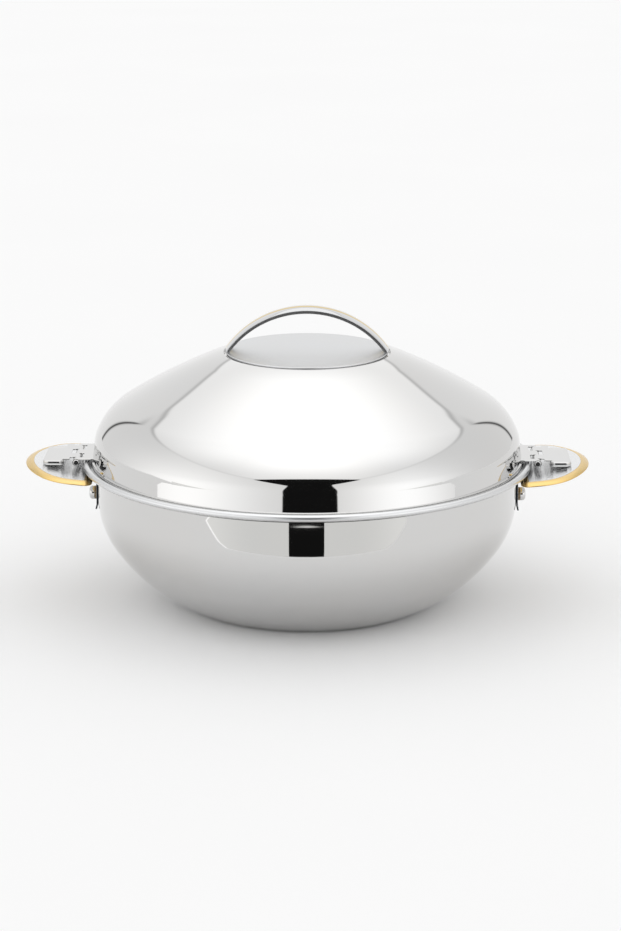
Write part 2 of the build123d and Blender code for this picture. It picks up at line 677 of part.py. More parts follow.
with BuildPart() as right_latch_tongue:
    for side in (-1, 1):
        start = side * (middle_knuckle + knuckle_gap)
        width = end_knuckle - middle_knuckle - 2 * knuckle_gap
        with BuildSketch(Plane(origin=(hinge_x, start, hinge_height), z_dir=(0, 1, 0))):
            Circle(knuckle_radius)
        extrude(amount=side * width)
        with BuildSketch(Plane.XY.offset(bracket_bottom)):
            with Locations((hinge_x, start + side * width / 2)):
                Rectangle(tongue_step, width, align=(Align.MIN, Align.CENTER))
        extrude(amount=bracket_sheet)
    with BuildSketch(Plane.XY.offset(bracket_bottom)):
        with Locations((hinge_x + tongue_start, 0)):
            Rectangle(
                tongue_step - tongue_start + bracket_sheet,
                2 * tongue_half_width,
                align=(Align.MIN, Align.CENTER),
            )
    extrude(amount=bracket_sheet)
    tab_top = bracket_top - tongue_drop
    tab_length = tongue_reach - tongue_step
    with BuildSketch(Plane.XY.offset(tab_top)):
        with Locations((hinge_x + tongue_step, 0)):
            Rectangle(bracket_sheet, 2 * tongue_half_width, align=(Align.MIN, Align.CENTER))
    extrude(amount=tongue_drop)
    with BuildSketch(Plane.XY.offset(tab_top - tongue_skirt)) as tab_outline:
        with Locations((hinge_x + tongue_step, 0)):
            Rectangle(tab_length, 2 * tongue_half_width, align=(Align.MIN, Align.CENTER))
        fillet(tab_outline.vertices().group_by(Axis.X)[-1], radius=tongue_corner)
    extrude(amount=tongue_skirt)
    outer_end = right_latch_tongue.faces().filter_by(Axis.Z).filter_by(
        lambda face: abs(face.center().Z - tab_top) < bracket_sheet / 2
    )
    top_edges = outer_end.sort_by(Axis.X)[-1].edges().filter_by(
        lambda rim: rim.center().X > hinge_x + tongue_step + bracket_sheet
    )
    fillet(top_edges, radius=tongue_edge)
    with BuildSketch(Plane.XY.offset(tab_top - tongue_skirt)) as cavity:
        with Locations((hinge_x + tongue_step + bracket_sheet, 0)):
            Rectangle(
                tab_length - 2 * bracket_sheet,
                2 * (tongue_half_width - bracket_sheet),
                align=(Align.MIN, Align.CENTER),
            )
        fillet(cavity.vertices().group_by(Axis.X)[-1], radius=tongue_corner - bracket_sheet)
    extrude(amount=tongue_skirt - bracket_sheet, mode=Mode.SUBTRACT)
    with BuildSketch(Plane(origin=(hinge_x, 0, hinge_height), z_dir=(0, 1, 0))):
        Circle(pin_radius + pin_clearance)
    extrude(amount=bracket_half_width, both=True, mode=Mode.SUBTRACT)
right_latch_tongue.part.label = "right_latch_tongue"

# ---- The left side mirrors the right -----------------------------------------------------

right_pieces = (
    right_handle_plate,
    right_rivet_collar,
    right_backing_plate,
    right_handle_rivet,
    right_catch_stud,
    right_latch_bracket,
    right_bracket_rivets,
    right_hinge_pin,
    right_latch_tongue,
)
left_pieces = []
for right in right_pieces:
    with BuildPart() as left:
        mirror(right.part, about=Plane.YZ)
    left.part.label = right.part.label.replace("right", "left")
    left_pieces.append(left)

# ---- Foam, with pockets for what stands in it --------------------------------------------

with BuildPart() as bowl_foam:
    with BuildSketch(Plane.XZ):
        with BuildLine():
            wall_top, wall_foot = bowl_line(sheet, flare_start, sheet)
            liner_top, liner_foot = bowl_line(insulation, ledge_bottom, floor_height)
            turn_out = JernArc(wall_top, (0, 1), flare_radius + sheet, -90)
            Line(turn_out @ 1, liner_top)
            Polyline(
                liner_foot,
                (0, floor_height),
                (0, base_recess + sheet),
                *reversed(base_points(sheet)),
                wall_foot,
            )
        make_face()
    revolve(axis=Axis.Z)
    add(foam_plug.part, mode=Mode.SUBTRACT)
    for piece in (right_backing_plate, right_handle_rivet, left_pieces[2], left_pieces[3]):
        add(piece.part, mode=Mode.SUBTRACT)
bowl_foam.part.label = "bowl_foam"

with BuildPart() as lid_foam:
    with BuildSketch(Plane.XZ):
        with BuildLine():
            skirt_end, top_end = lid_line(sheet, flange_joint, recess_radius + sheet)
            dome = RadiusArc(hidden @ 0, hidden @ 1, -(curve + sheet))
            Polyline(
                skirt_end,
                (plug_ring_radius - sheet, flange_joint),
                (plug_ring_radius - sheet, plug_ring_bottom + sheet),
                dome @ 0,
            )
            Polyline(
                dome @ 1,
                (0, recess_floor - sheet),
                (recess_radius + sheet, recess_floor - sheet),
                top_end,
            )
        make_face()
    revolve(axis=Axis.Z)
    add(lid_foam_plug.part, mode=Mode.SUBTRACT)
    add(lid_handle_rivets.part, mode=Mode.SUBTRACT)
lid_foam.part.label = "lid_foam"

# ---- Files -------------------------------------------------------------------------------

middle_pieces = (
    outer_bowl,
    inner_bowl,
    bowl_foam,
    foam_plug,
    lid_outer,
    lid_inner,
    lid_foam,
    lid_foam_plug,
    lid_cap,
    lid_handle,
    lid_handle_rivets,
)
for piece in (*middle_pieces, *right_pieces, *left_pieces):
    export_step(piece.part, f"parts/{piece.part.label}.step")
    print(piece.part.label, round(piece.part.volume, 1))
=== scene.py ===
# %% [markdown]
# # An insulated chapati casserole in polished steel
#
# The CAD solids of a hot pot arrive already packed: a double-walled bowl, a double-walled lid, two
# side handles, and a latch on each side. This lesson dresses them. Every visible piece is modelled
# again with bmesh operators, finer than the CAD solids, gets a finish made of shader nodes, and
# rides on the CAD body that it belongs to. The drawing is done in millimetres and each finished
# piece is brought to metres in one place.

# %% Load the CAD frame
import math

import bmesh
import bpy
from mathutils import Matrix, Vector


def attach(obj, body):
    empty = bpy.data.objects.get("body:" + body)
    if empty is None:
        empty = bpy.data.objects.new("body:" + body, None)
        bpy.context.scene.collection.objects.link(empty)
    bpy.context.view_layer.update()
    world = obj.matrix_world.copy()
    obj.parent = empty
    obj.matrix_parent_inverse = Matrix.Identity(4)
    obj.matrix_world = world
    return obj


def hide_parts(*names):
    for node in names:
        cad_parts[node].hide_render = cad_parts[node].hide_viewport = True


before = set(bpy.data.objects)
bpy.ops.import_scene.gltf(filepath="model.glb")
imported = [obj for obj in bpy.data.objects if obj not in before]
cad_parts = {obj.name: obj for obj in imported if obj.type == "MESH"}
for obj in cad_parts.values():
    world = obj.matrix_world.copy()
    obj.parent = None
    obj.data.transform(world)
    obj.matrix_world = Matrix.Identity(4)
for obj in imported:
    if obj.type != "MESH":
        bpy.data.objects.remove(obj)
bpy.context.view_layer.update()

MM = 0.001
scene = bpy.context.scene

# %% [markdown]
# ## Camera
#
# A long lens from well back keeps a round pot looking round, and a camera tilted down by about
# fifteen degrees shows the lid's crown and a little of the floor in front. The lens follows from the
# height of the picture in pixels and a focal length in pixels, both known here. The Standard view
# transform shows a colour as it is written. The pot stands turned by less than a degree, so the
# camera, the room and the board in front go around it by that much.

# %% Camera
FRAME_WIDTH, FRAME_HEIGHT = 621, 931
FOCAL_PIXELS = 2700
SENSOR = 36.0

camera_data = bpy.data.cameras.new("studio_camera")
camera_data.sensor_width = SENSOR
camera_data.lens = SENSOR * FOCAL_PIXELS / max(FRAME_WIDTH, FRAME_HEIGHT)
camera = bpy.data.objects.new("studio_camera", camera_data)
scene.collection.objects.link(camera)
CAMERA_PLACE = (0.00221, -1.7486, 0.5519)
CAMERA_TILT, CAMERA_TURN = 14.788, 0.76
camera.location = Matrix.Rotation(math.radians(CAMERA_TURN), 3, "Z") @ Vector(CAMERA_PLACE)
camera.rotation_euler = (math.radians(90 - CAMERA_TILT), 0, math.radians(CAMERA_TURN))
scene.camera = camera
scene.view_settings.view_transform = "Standard"
print("lens in mm:", round(camera_data.lens, 1))

# %% [markdown]
# ## Drawing an outline with operators
#
# A spun pot starts as a profile: straight runs and arcs, each meeting the next at a tangent. The
# profile could be typed in as a list of points, but a small pen is closer to how a die maker draws
# it. Each straight run is an extruded vertex, and each arc is a vertex that `bmesh.ops.spin` turns
# about the arc's centre, so the operator places every point. The pen draws in the XZ plane, with
# headings in degrees from +X towards +Z.

# %% The profile pen
class Pen:
    """Draws a chain of edges in the XZ plane, in millimetres."""

    def __init__(self, x, z, heading=0.0):
        self.bm = bmesh.new()
        self.start = self.tip = self.bm.verts.new((x, 0, z))
        self.heading = heading

    def line_to(self, x, z, steps=1):
        target = Vector((x, 0, z))
        stride = (target - self.tip.co) / steps
        self.heading = math.degrees(math.atan2(stride.z, stride.x))
        for _ in range(steps):
            made = bmesh.ops.extrude_vert_indiv(self.bm, verts=[self.tip])
            tip = made["verts"][0]
            bmesh.ops.translate(self.bm, verts=[tip], vec=stride)
            self.tip = tip
        return self

    def arc(self, radius, turn, steps):
        """Turns left by `turn` degrees, or right where it is negative."""
        side = math.copysign(1, turn)
        across = math.radians(self.heading + side * 90)
        centre = self.tip.co + radius * Vector((math.cos(across), 0, math.sin(across)))
        made = bmesh.ops.spin(
            self.bm, geom=[self.tip], cent=centre, axis=(0, -side, 0),
            angle=math.radians(abs(turn)), steps=steps,
        )
        self.tip = next(v for v in made["geom_last"] if isinstance(v, bmesh.types.BMVert))
        self.heading += turn
        return self

    def close(self):
        bmesh.ops.weld_verts(self.bm, targetmap={self.tip: self.start})
        self.tip = self.start
        return self.bm


def sin(degrees):
    return math.sin(math.radians(degrees))


def cos(degrees):
    return math.cos(math.radians(degrees))


def rotate(bm, degrees, axis):
    """Turns a whole drawing about a main axis."""
    matrix = Matrix.Rotation(math.radians(degrees), 3, axis)
    bmesh.ops.rotate(bm, verts=bm.verts[:], cent=(0, 0, 0), matrix=matrix)
    return bm


def move(bm, *step):
    bmesh.ops.translate(bm, verts=bm.verts[:], vec=step)
    return bm


def revolve(bm, steps=240):
    """Turns a profile into a body about the Z axis, faces outwards."""
    bmesh.ops.spin(
        bm, geom=bm.verts[:] + bm.edges[:], cent=(0, 0, 0), axis=(0, 0, 1),
        angle=2 * math.pi, steps=steps, use_merge=True,
    )
    bmesh.ops.remove_doubles(bm, verts=bm.verts[:], dist=0.0005)
    bmesh.ops.recalc_face_normals(bm, faces=bm.faces[:])
    return bm


def soften(bm, offset, segments=3, sharper_than=25.0, where=lambda edge: True):
    """Rounds every edge that folds by more than an angle."""
    sharp = [
        e for e in bm.edges
        if e.is_manifold and e.calc_face_angle() > math.radians(sharper_than) and where(e)
    ]
    bmesh.ops.bevel(
        bm, geom=sharp, offset=offset, segments=segments, profile=0.5, affect="EDGES",
        material=-1, clamp_overlap=True,
    )
    return bm


def middle(edge):
    return (edge.verts[0].co + edge.verts[1].co) / 2


# %% [markdown]
# ## From millimetres to a finished piece
#
# Every piece ends the same way: its mesh is scaled to metres with the object left at the origin, it
# is shaded smooth with weighted normals, so that broad flat faces stay flat next to their rounded
# edges, and it is tied to its CAD body. Keeping that in one function keeps the pieces alike.

# %% Finishing a piece
def finish_piece(bm, name, body, finishes, stands_for=()):
    """Makes the object, dresses it, ties it to its CAD body and prints its size."""
    bmesh.ops.scale(bm, verts=bm.verts[:], vec=(MM, MM, MM))
    mesh = bpy.data.meshes.new(name)
    bm.to_mesh(mesh)
    bm.free()
    for finish in finishes:
        mesh.materials.append(finish)
    mesh.shade_smooth()
    piece = bpy.data.objects.new(name, mesh)
    scene.collection.objects.link(piece)
    weighted = piece.modifiers.new("weighted_normals", "WEIGHTED_NORMAL")
    weighted.keep_sharp = True
    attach(piece, body)
    if stands_for:
        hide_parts(*stands_for)
    size = [round(d * 1000, 1) for d in piece.dimensions]
    print(name, "size in mm:", size, "triangles:", sum(len(p.vertices) - 2 for p in mesh.polygons))
    return piece


# %% [markdown]
# ## Shader sums in plain Python
#
# A finish is arithmetic on fields: a noise, times a mask, plus a base. Wiring Math nodes by hand
# hides that, so one small class wraps a socket and lets the usual operators add the nodes. Colours
# go through Mix nodes and directions through Vector Math. Any other node comes from one method,
# which sets its options first and then its inputs.

# %% A socket that takes part in sums
class Field:
    """One output socket of a node tree."""

    def __init__(self, tree, socket):
        self.tree, self.socket = tree, socket

    def sum_node(self, operation, *terms):
        node = self.tree.nodes.new("ShaderNodeMath")
        node.operation = operation
        for place, term in zip(node.inputs, terms):
            plug(self.tree, place, term)
        return Field(self.tree, node.outputs[0])

    def __add__(self, other): return self.sum_node("ADD", self, other)
    def __radd__(self, other): return self.sum_node("ADD", other, self)
    def __sub__(self, other): return self.sum_node("SUBTRACT", self, other)
    def __rsub__(self, other): return self.sum_node("SUBTRACT", other, self)
    def __mul__(self, other): return self.sum_node("MULTIPLY", self, other)
    def __rmul__(self, other): return self.sum_node("MULTIPLY", other, self)
    def __truediv__(self, other): return self.sum_node("DIVIDE", self, other)
    def __rtruediv__(self, other): return self.sum_node("DIVIDE", other, self)
    def __pow__(self, other): return self.sum_node("POWER", self, other)
    def __neg__(self): return self.sum_node("MULTIPLY", self, -1)
    def __abs__(self): return self.sum_node("ABSOLUTE", self)
    def __lt__(self, other): return self.sum_node("LESS_THAN", self, other)
    def __gt__(self, other): return self.sum_node("GREATER_THAN", self, other)


def plug(tree, place, value):
    """Links a field to an input socket, or sets a plain value on it."""
    if isinstance(value, Field):
        tree.links.new(value.socket, place)
    else:
        place.default_value = value


class Bench:
    """A node tree on which a finish is put together."""

    def __init__(self, tree):
        self.tree = tree
        tree.nodes.clear()

    def node(self, kind, settings=None, output=0, **values):
        """Adds a node; `settings` go on the node and `values` on the sockets of those names."""
        made = self.tree.nodes.new("ShaderNode" + kind)
        for key, value in (settings or {}).items():
            setattr(made, key, value)
        for key, value in values.items():
            name = key.replace("_", " ")
            place = next(s for s in made.inputs if s.enabled and (s.name == name or s.identifier == key))
            plug(self.tree, place, value)
        if output is None:
            return made
        places = [s for s in made.outputs if s.enabled]
        named = [s for s in places if s.name == output]
        return Field(self.tree, named[0] if named else places[output])

    def ease(self, value, low, high):
        """0 below `low`, 1 above `high`, and a smooth step between them."""
        return self.node(
            "MapRange", {"interpolation_type": "SMOOTHSTEP"},
            Value=value, From_Min=low, From_Max=high, To_Min=0.0, To_Max=1.0,
        )

    def mix(self, share, first, second):
        """A colour between two colours."""
        return self.node("Mix", {"data_type": "RGBA"}, Factor=share, A=first, B=second)

    def bell(self, value, centre, width):
        """1 at the centre, and a smooth fall on both sides."""
        away = (value - centre) / width
        return self.node("Math", {"operation": "EXPONENT"}, Value=-(away * away))

    def place(self):
        """Object coordinates, in metres."""
        return self.node("TexCoord", output="Object")

    def along(self, axis):
        """One of the Object coordinates, in millimetres."""
        return self.node("SeparateXYZ", output=axis, Vector=self.place()) / MM

    def noise(self, scale, detail=2.0, at=None, **values):
        """A noise in Object coordinates, or in others."""
        where = at or self.place()
        return self.node("TexNoise", output="Fac", Vector=where, Scale=scale, Detail=detail, **values)


def grey(level):
    return (level, level, level, 1.0)


# %% [markdown]
# ## The studio
#
# Polished steel has no colour of its own: it shows the room. A photographer therefore surrounds it
# with white cloth, lights the cloth, and leaves a dark gap for the camera, which draws the crisp
# black shape that makes metal look like metal. The room could be built from cards, but a world
# shader that depends only on direction is lighter and has no edges to hide. It gives three things:
# a bright ceiling, walls lit by two soft lamps, and a dark T, which is the gap at the camera. Thin
# grey lines are the seams where the cloths meet. Rays from dull surfaces get a plain even level,
# so that colours come out as they are written.

# %% World
world = bpy.data.worlds.new("light_tent")
scene.world = world
world.use_nodes = True
tent = Bench(world.node_tree)

direction = tent.node("TexCoord", output="Generated")
toward_x = tent.node("SeparateXYZ", output="X", Vector=direction)
toward_y = tent.node("SeparateXYZ", output="Y", Vector=direction)
toward_z = tent.node("SeparateXYZ", output="Z", Vector=direction)
DEGREE = 180 / math.pi
bearing = tent.node("Math", {"operation": "ARCTAN2"}, Value=toward_x, Value_001=-toward_y)
bearing = bearing * DEGREE - CAMERA_TURN
height = tent.node("Math", {"operation": "ARCSINE"}, Value=toward_z) * DEGREE
off_axis = abs(bearing)


def wave(angle):
    return tent.node("Math", {"operation": "COSINE"}, Value=angle * (2 / DEGREE))


# %% World, cloths and seams
BACK_CORNER = 146
SIDE_SEAM, SEAM_SWING, SEAM_PHASE, BACK_SEAM, BACK_DIP = 37, 5, 5, 34, 14
LEFT_LAMP, RIGHT_LAMP = (-66, 40), (52, 30)
CLOTH, LAMP_LEVEL, CEILING, BACKDROP = 0.9, 0.6, 1.04, 0.96

behind = tent.ease(off_axis, BACK_CORNER, BACK_CORNER + 4)
side_seam = SIDE_SEAM - wave(off_axis - SEAM_PHASE) * SEAM_SWING
back_seam = BACK_SEAM - tent.ease(off_axis, 150, 176) * BACK_DIP
seam = side_seam * (1 - behind) + back_seam * behind
above = tent.ease(height - seam, -1.2, 1.2)

ceiling = CEILING + tent.ease(height, 34, 72) * 0.5 + tent.ease(wave(off_axis), -0.6, 1.0) * 0.16
lamp_fall = 1 - tent.ease(height, 0, 44) * 0.62
lamps = tent.bell(bearing, *LEFT_LAMP) + tent.bell(bearing, *RIGHT_LAMP)
walls = CLOTH + lamps * lamp_fall * LAMP_LEVEL
backdrop = BACKDROP + tent.ease(off_axis, 158, 180) * 0.06
walls = walls * (1 - behind) + backdrop * behind

seam_depth = 0.1 + tent.ease(off_axis, 100, BACK_CORNER) * 0.25
seam_line = tent.bell(height - seam, 0, 0.9) * seam_depth
pole_reach = tent.ease(height, -13.5, -9) * tent.ease(-height, -33, -26)
pole_line = tent.bell(off_axis - BACK_CORNER, 1, 1.3) * pole_reach * 0.9
room = (ceiling * above + walls * (1 - above)) * (1 - seam_line) * (1 - pole_line)
print("lamps at bearings:", LEFT_LAMP[0], RIGHT_LAMP[0])

# %% World, the dark gap
COLUMN_HALF, COLUMN_BEARING, COLUMN_TOP = 14.1, 1.5, 33
BAR_TOP, BAR_BOTTOM, BAR_CORNER = 38.2, 27, 12.3
EDGE_BLUR = 0.4

column_half = COLUMN_HALF - tent.ease(height, 3, 27) * 1.8
column_side = tent.ease(column_half - abs(bearing - COLUMN_BEARING), -EDGE_BLUR, EDGE_BLUR)
column = column_side * tent.ease(-height, -COLUMN_TOP, 0.6 - COLUMN_TOP)
bar_top = BAR_TOP - (off_axis / 30) ** 2 * 5
bar_bottom = BAR_BOTTOM + (off_axis - BAR_CORNER) * 0.31
bar = tent.ease(bar_top - height, -0.3, 0.3) * tent.ease(height - bar_bottom, -0.3, 0.3)
gap = tent.node("Math", {"operation": "MAXIMUM"}, Value=column, Value_001=bar)
shown = room * (1 - gap * 0.992)
print("dark column, degrees wide:", 2 * COLUMN_HALF)

# %% World, what each kind of ray sees
rays = tent.node("LightPath", output=None)
camera_ray, glossy_ray, through_ray = (
    Field(tent.tree, rays.outputs[name])
    for name in ("Is Camera Ray", "Is Glossy Ray", "Is Transmission Ray")
)
sees_room = tent.node("Math", {"operation": "MAXIMUM"}, Value=glossy_ray, Value_001=through_ray)
plain_level = 0.86 + toward_z * 0.2
level = shown * sees_room + (1 - sees_room) * (camera_ray * 0.97 + (1 - camera_ray) * plain_level)
lit = tent.node("Background", Color=(1, 1, 1, 1), Strength=level)
tent.tree.links.new(lit.socket, tent.node("OutputWorld", output=None).inputs["Surface"])
print("nodes in the world:", len(world.node_tree.nodes))

# %% [markdown]
# ## The floor
#
# A sheet of white cloth without a visible end. The pot's soft shadow falls on it. The table that the
# sheet covers ends a hand's width in front of the pot, and a mirror sees that edge although the
# camera doesn't, so the sheet is made of two planes, and the front one is left out of reflections.

# %% Floor
TABLE_EDGE = -0.3
FAR = 9.0
FLOOR_LEVEL = -0.0002


def new_finish(name):
    material = bpy.data.materials.new(name)
    material.use_nodes = True
    return material, Bench(material.node_tree)


def shade(bench, **values):
    """The one shader of a finish, and its output."""
    surface = bench.node("BsdfPrincipled", **values)
    bench.tree.links.new(surface.socket, bench.node("OutputMaterial", output=None).inputs["Surface"])


def stage_panel(name, finish, width, depth, place, standing=False):
    """A rectangle that lies, or stands and turns with the room, and isn't part of the pot."""
    bm = bmesh.new()
    bmesh.ops.create_grid(bm, x_segments=1, y_segments=1, size=0.5)
    bmesh.ops.scale(bm, verts=bm.verts[:], vec=(width, depth, 1))
    if standing:
        rotate(move(rotate(bm, 90, "X"), *place), CAMERA_TURN, "Z")
    else:
        move(bm, *place)
    mesh = bpy.data.meshes.new(name)
    bm.to_mesh(mesh)
    bm.free()
    mesh.materials.append(finish)
    panel = bpy.data.objects.new(name, mesh)
    scene.collection.objects.link(panel)
    return panel


cloth, bench = new_finish("white_cloth")
shade(
    bench, Base_Color=bench.mix(bench.noise(3.0), grey(0.955), grey(0.975)), Roughness=1.0,
    Specular_IOR_Level=0.0,
)
for name, near, far in (("table_sheet", TABLE_EDGE, FAR), ("front_sheet", -FAR, TABLE_EDGE)):
    sheet = stage_panel(name, cloth, 2 * FAR, far - near, (0, (far + near) / 2, FLOOR_LEVEL))
    sheet.visible_glossy = name == "table_sheet"
    print(name, "from", near, "to", far, "m")

# %% [markdown]
# ## The low board in front
#
# A low white board stands at the table's edge, with an opening at its foot for the lens. Only mirrors
# see it: the camera, dull surfaces and shadows don't. The bowl's wall is upright, so it shows the
# board, with the opening as a small black square, while the lid looks over it and shows the whole
# dark gap. The board glows with its own level, a little brighter above the opening.

# %% Front board
BOARD_TOP, OPENING_TOP, BOARD_HALF = 0.053, 0.0412, 0.8
OPENING_LEFT, OPENING_RIGHT = -0.0388, 0.0367

board_white, bench = new_finish("board_white")
ends_glow = bench.ease(abs(bench.along("X")), 100, 300) * 0.14
top_glow = bench.ease(bench.along("Z"), OPENING_TOP / MM, OPENING_TOP / MM + 1) * 0.35
glow = 0.88 + ends_glow + top_glow
tint = bench.node("CombineColor", Red=glow, Green=glow, Blue=glow * 0.985)
shade(bench, Base_Color=grey(0.0), Specular_IOR_Level=0.0, Emission_Color=tint, Emission_Strength=1.0)

for name, left, right, low in (
    ("board_left", -BOARD_HALF, OPENING_LEFT, 0.0),
    ("board_right", OPENING_RIGHT, BOARD_HALF, 0.0),
    ("board_above_opening", OPENING_LEFT, OPENING_RIGHT, OPENING_TOP),
):
    centre = ((left + right) / 2, TABLE_EDGE, (BOARD_TOP + low) / 2)
    board = stage_panel(name, board_white, right - left, BOARD_TOP - low, centre, standing=True)
    board.visible_camera = board.visible_diffuse = board.visible_shadow = False
    print(name, "is", round((right - left) / MM), "mm long")

# %% [markdown]
# ## Mirror-polished steel
#
# Stainless steel reflects about two thirds of the light, almost without colour. Even a good polish is
# not perfect: buffing leaves a faint haze in bands around the pot, and fingers and cloths leave
# patches that are a trace duller. Those go into the roughness, where they show only as a slight
# softening of a reflection, which is how the eye knows the metal from chrome paint.

# %% Polished steel
STEEL = (0.655, 0.658, 0.66, 1.0)
STEEL_WARM = (0.665, 0.655, 0.64, 1.0)
# The near-black colour below is painted shade for the crevice under the rolled rim.
CREVICE_SHADE = (0.02, 0.02, 0.022, 1.0)
CREVICE_LOW, CREVICE_HIGH = 90.3, 93.5


def polished(name, crevice=False):
    """Mirror-polished steel, with painted shade in the crevice under the rim where wanted."""
    material, bench = new_finish(name)
    patches = bench.noise(14.0, 3.0)
    bands = bench.noise(2.0, at=bench.node("Mapping", Vector=bench.place(), Scale=(6, 6, 160)))
    wiped = bench.ease(patches, 0.5, 0.8)
    fine = bench.noise(900.0)
    steel = bench.mix(patches, STEEL, STEEL_WARM)
    # Painted shade: the band under the rolled rim is darkened nearly to black in the base colour.
    if crevice:
        up = bench.along("Z")
        inside = bench.ease(up, CREVICE_LOW, CREVICE_LOW + 0.3) * (up < CREVICE_HIGH)
        steel = bench.mix(inside, steel, CREVICE_SHADE)
    polish = 0.015 + wiped * 0.02 + bands * 0.012 + fine * 0.006
    shade(bench, Base_Color=steel, Metallic=1.0, Roughness=polish)
    return material


polished_steel = polished("polished_steel")
bowl_steel = polished("polished_steel_with_painted_crevice_shade", crevice=True)
print("crevice from", CREVICE_LOW, "to", CREVICE_HIGH, "mm")

# %% [markdown]
# ## Satin steel
#
# The inside of a hot pot is left satin, brushed in circles on a turning lathe. The strokes are a
# noise that hardly changes around the pot but changes quickly across it, so its coordinates are the
# radius and the height, with only a little of the angle.

# %% Satin steel
STROKES = 0.9
satin_steel, bench = new_finish("satin_steel")
across, along, up = (bench.along(axis) for axis in "XYZ")
radius = (across * across + along * along) ** 0.5
angle = bench.node("Math", {"operation": "ARCTAN2"}, Value=across, Value_001=along)
stroke_place = bench.node("CombineXYZ", X=radius * STROKES, Y=up * STROKES, Z=angle * 1.5)
strokes = bench.noise(1.0, 4.0, at=stroke_place, Roughness=0.6)
shade(
    bench,
    Base_Color=bench.mix(strokes, (0.56, 0.56, 0.56, 1), (0.68, 0.68, 0.675, 1)),
    Metallic=1.0,
    Roughness=0.26 + strokes * 0.12 + bench.noise(22.0, 3.0) * 0.05,
    Normal=bench.node("Bump", Strength=0.12, Distance=0.0004, Height=strokes),
)
print("strokes in a centimetre:", round(STROKES * 10))

# %% [markdown]
# ## Finer satin, dark edges and painted gap shade
#
# The cap, the handle plates and the rolled rim are blasted to an even satin without strokes. A cut
# edge is darker than a polished face. In a narrow gap there is hardly any light at all, so that shade
# is painted as a near-black steel. All of them are one recipe with another lightness and roughness,
# so one function makes them.

# %% Fine satin steel
def fine_satin(name, light, dull):
    """Evenly dulled steel of a given lightness and roughness."""
    material, bench = new_finish(name)
    grain, clouds = bench.noise(1400.0, 3.0), bench.noise(30.0, 3.0)
    cool = (light - 0.01, light, light + 0.012, 1.0)
    shade(
        bench,
        Base_Color=bench.mix(clouds, cool, grey(light)),
        Metallic=1.0,
        Roughness=dull + clouds * 0.04 + grain * 0.03,
        Normal=bench.node("Bump", Strength=0.08, Distance=0.0001, Height=grain),
    )
    return material


cap_satin = fine_satin("cap_satin_steel", 0.645, 0.3)
plate_satin = fine_satin("plate_satin_steel", 0.76, 0.2)
rim_satin = fine_satin("rim_satin_steel", 0.69, 0.26)
cut_edge = fine_satin("cut_edge_steel", 0.45, 0.24)
# Painted shade: a near-black steel that stands in for the shade in narrow gaps.
painted_gap_shade = fine_satin("painted_gap_shade_steel", 0.03, 0.3)
print("satin finishes:", [m.name for m in bpy.data.materials if m.name.endswith("satin_steel")])

# %% [markdown]
# ## The outer bowl
#
# A bowl is pressed from one disc and then spun over a form, so its wall is the same thickness all the
# way. The outline therefore runs down the outer face and back up the inner face, a sheet apart, and
# each arc keeps its centre while its radius changes by the sheet. The outer shell ends under the
# rolled rim, turns in below the shoulder, and stands on a flat ring around a slightly raised middle.

# %% Outer bowl
SHEET = 0.8
WALL = 140.0
SHOULDER_HEIGHT, SHOULDER_RADIUS, SHOULDER_TURN = 71.3, 54.0, 34.4
BELLY_RADIUS = 116.22
BELLY_HEIGHT = SHOULDER_HEIGHT + (BELLY_RADIUS - SHOULDER_RADIUS) * sin(SHOULDER_TURN)
LEDGE = 95.6
RAMP_OUTER, RAMP_INNER, RAISED, FILLER = 71.0, 68.0, 1.2, 6.0


def belly_turn(inset, bottom):
    """Degrees turned on the belly from the shoulder down to a height."""
    return math.degrees(math.asin((BELLY_HEIGHT - bottom) / (BELLY_RADIUS - inset))) - SHOULDER_TURN


def down_the_wall(pen, inset, bottom):
    """From the top of the upright wall, heading down, to the foot."""
    pen.line_to(WALL - inset, SHOULDER_HEIGHT, steps=6)
    pen.arc(SHOULDER_RADIUS - inset, -SHOULDER_TURN, 20)
    return pen.arc(BELLY_RADIUS - inset, -belly_turn(inset, bottom), 20)


def up_the_wall(pen, inset, bottom, top):
    """From the foot, heading outwards, to the top of the upright wall."""
    turn = belly_turn(inset, bottom)
    pen.heading = 90 - SHOULDER_TURN - turn
    pen.arc(BELLY_RADIUS - inset, turn, 20)
    pen.arc(SHOULDER_RADIUS - inset, SHOULDER_TURN, 20)
    return pen.line_to(WALL - inset, top, steps=6)


def foot_radius(inset, bottom):
    """Where a face of the wall meets a level."""
    centre = WALL - SHOULDER_RADIUS - (BELLY_RADIUS - SHOULDER_RADIUS) * cos(SHOULDER_TURN)
    return centre + (BELLY_RADIUS - inset) * cos(SHOULDER_TURN + belly_turn(inset, bottom))


FLARE = 3.0
FLARE_START = LEDGE - 2 * SHEET - FLARE
EDGE = 146.1

pen = Pen(EDGE, FLARE_START + FLARE)
pen.line_to(WALL + FLARE, FLARE_START + FLARE, steps=2).arc(FLARE, 90, 8)
down_the_wall(pen, 0, 0)
pen.line_to(RAMP_OUTER, 0, 3).line_to(RAMP_INNER, RAISED).line_to(FILLER, RAISED, 8)
pen.line_to(FILLER, RAISED + SHEET).line_to(RAMP_INNER, RAISED + SHEET, 8).line_to(RAMP_OUTER, SHEET)
pen.line_to(foot_radius(SHEET, SHEET), SHEET, 3)
up_the_wall(pen, SHEET, SHEET, FLARE_START)
pen.arc(FLARE + SHEET, -90, 8).line_to(EDGE, LEDGE - SHEET, steps=2)
pen.line_to(EDGE, FLARE_START + FLARE)
bowl = revolve(pen.close())
soften(bowl, 0.3, where=lambda e: middle(e).z < 5)
finish_piece(bowl, "bowl_outer_shell", "bowl", [bowl_steel], ["outer_bowl"])

# %% [markdown]
# ## The inner bowl and its rolled rim
#
# The inner shell carries the rim: its sheet turns out over the wall as a ledge for the lid, and the
# edge is curled into a bead, which stiffens the bowl and hides the raw edge. The curl is one arc on
# the bead's outside and one on its inside, joined at the sheet's end.

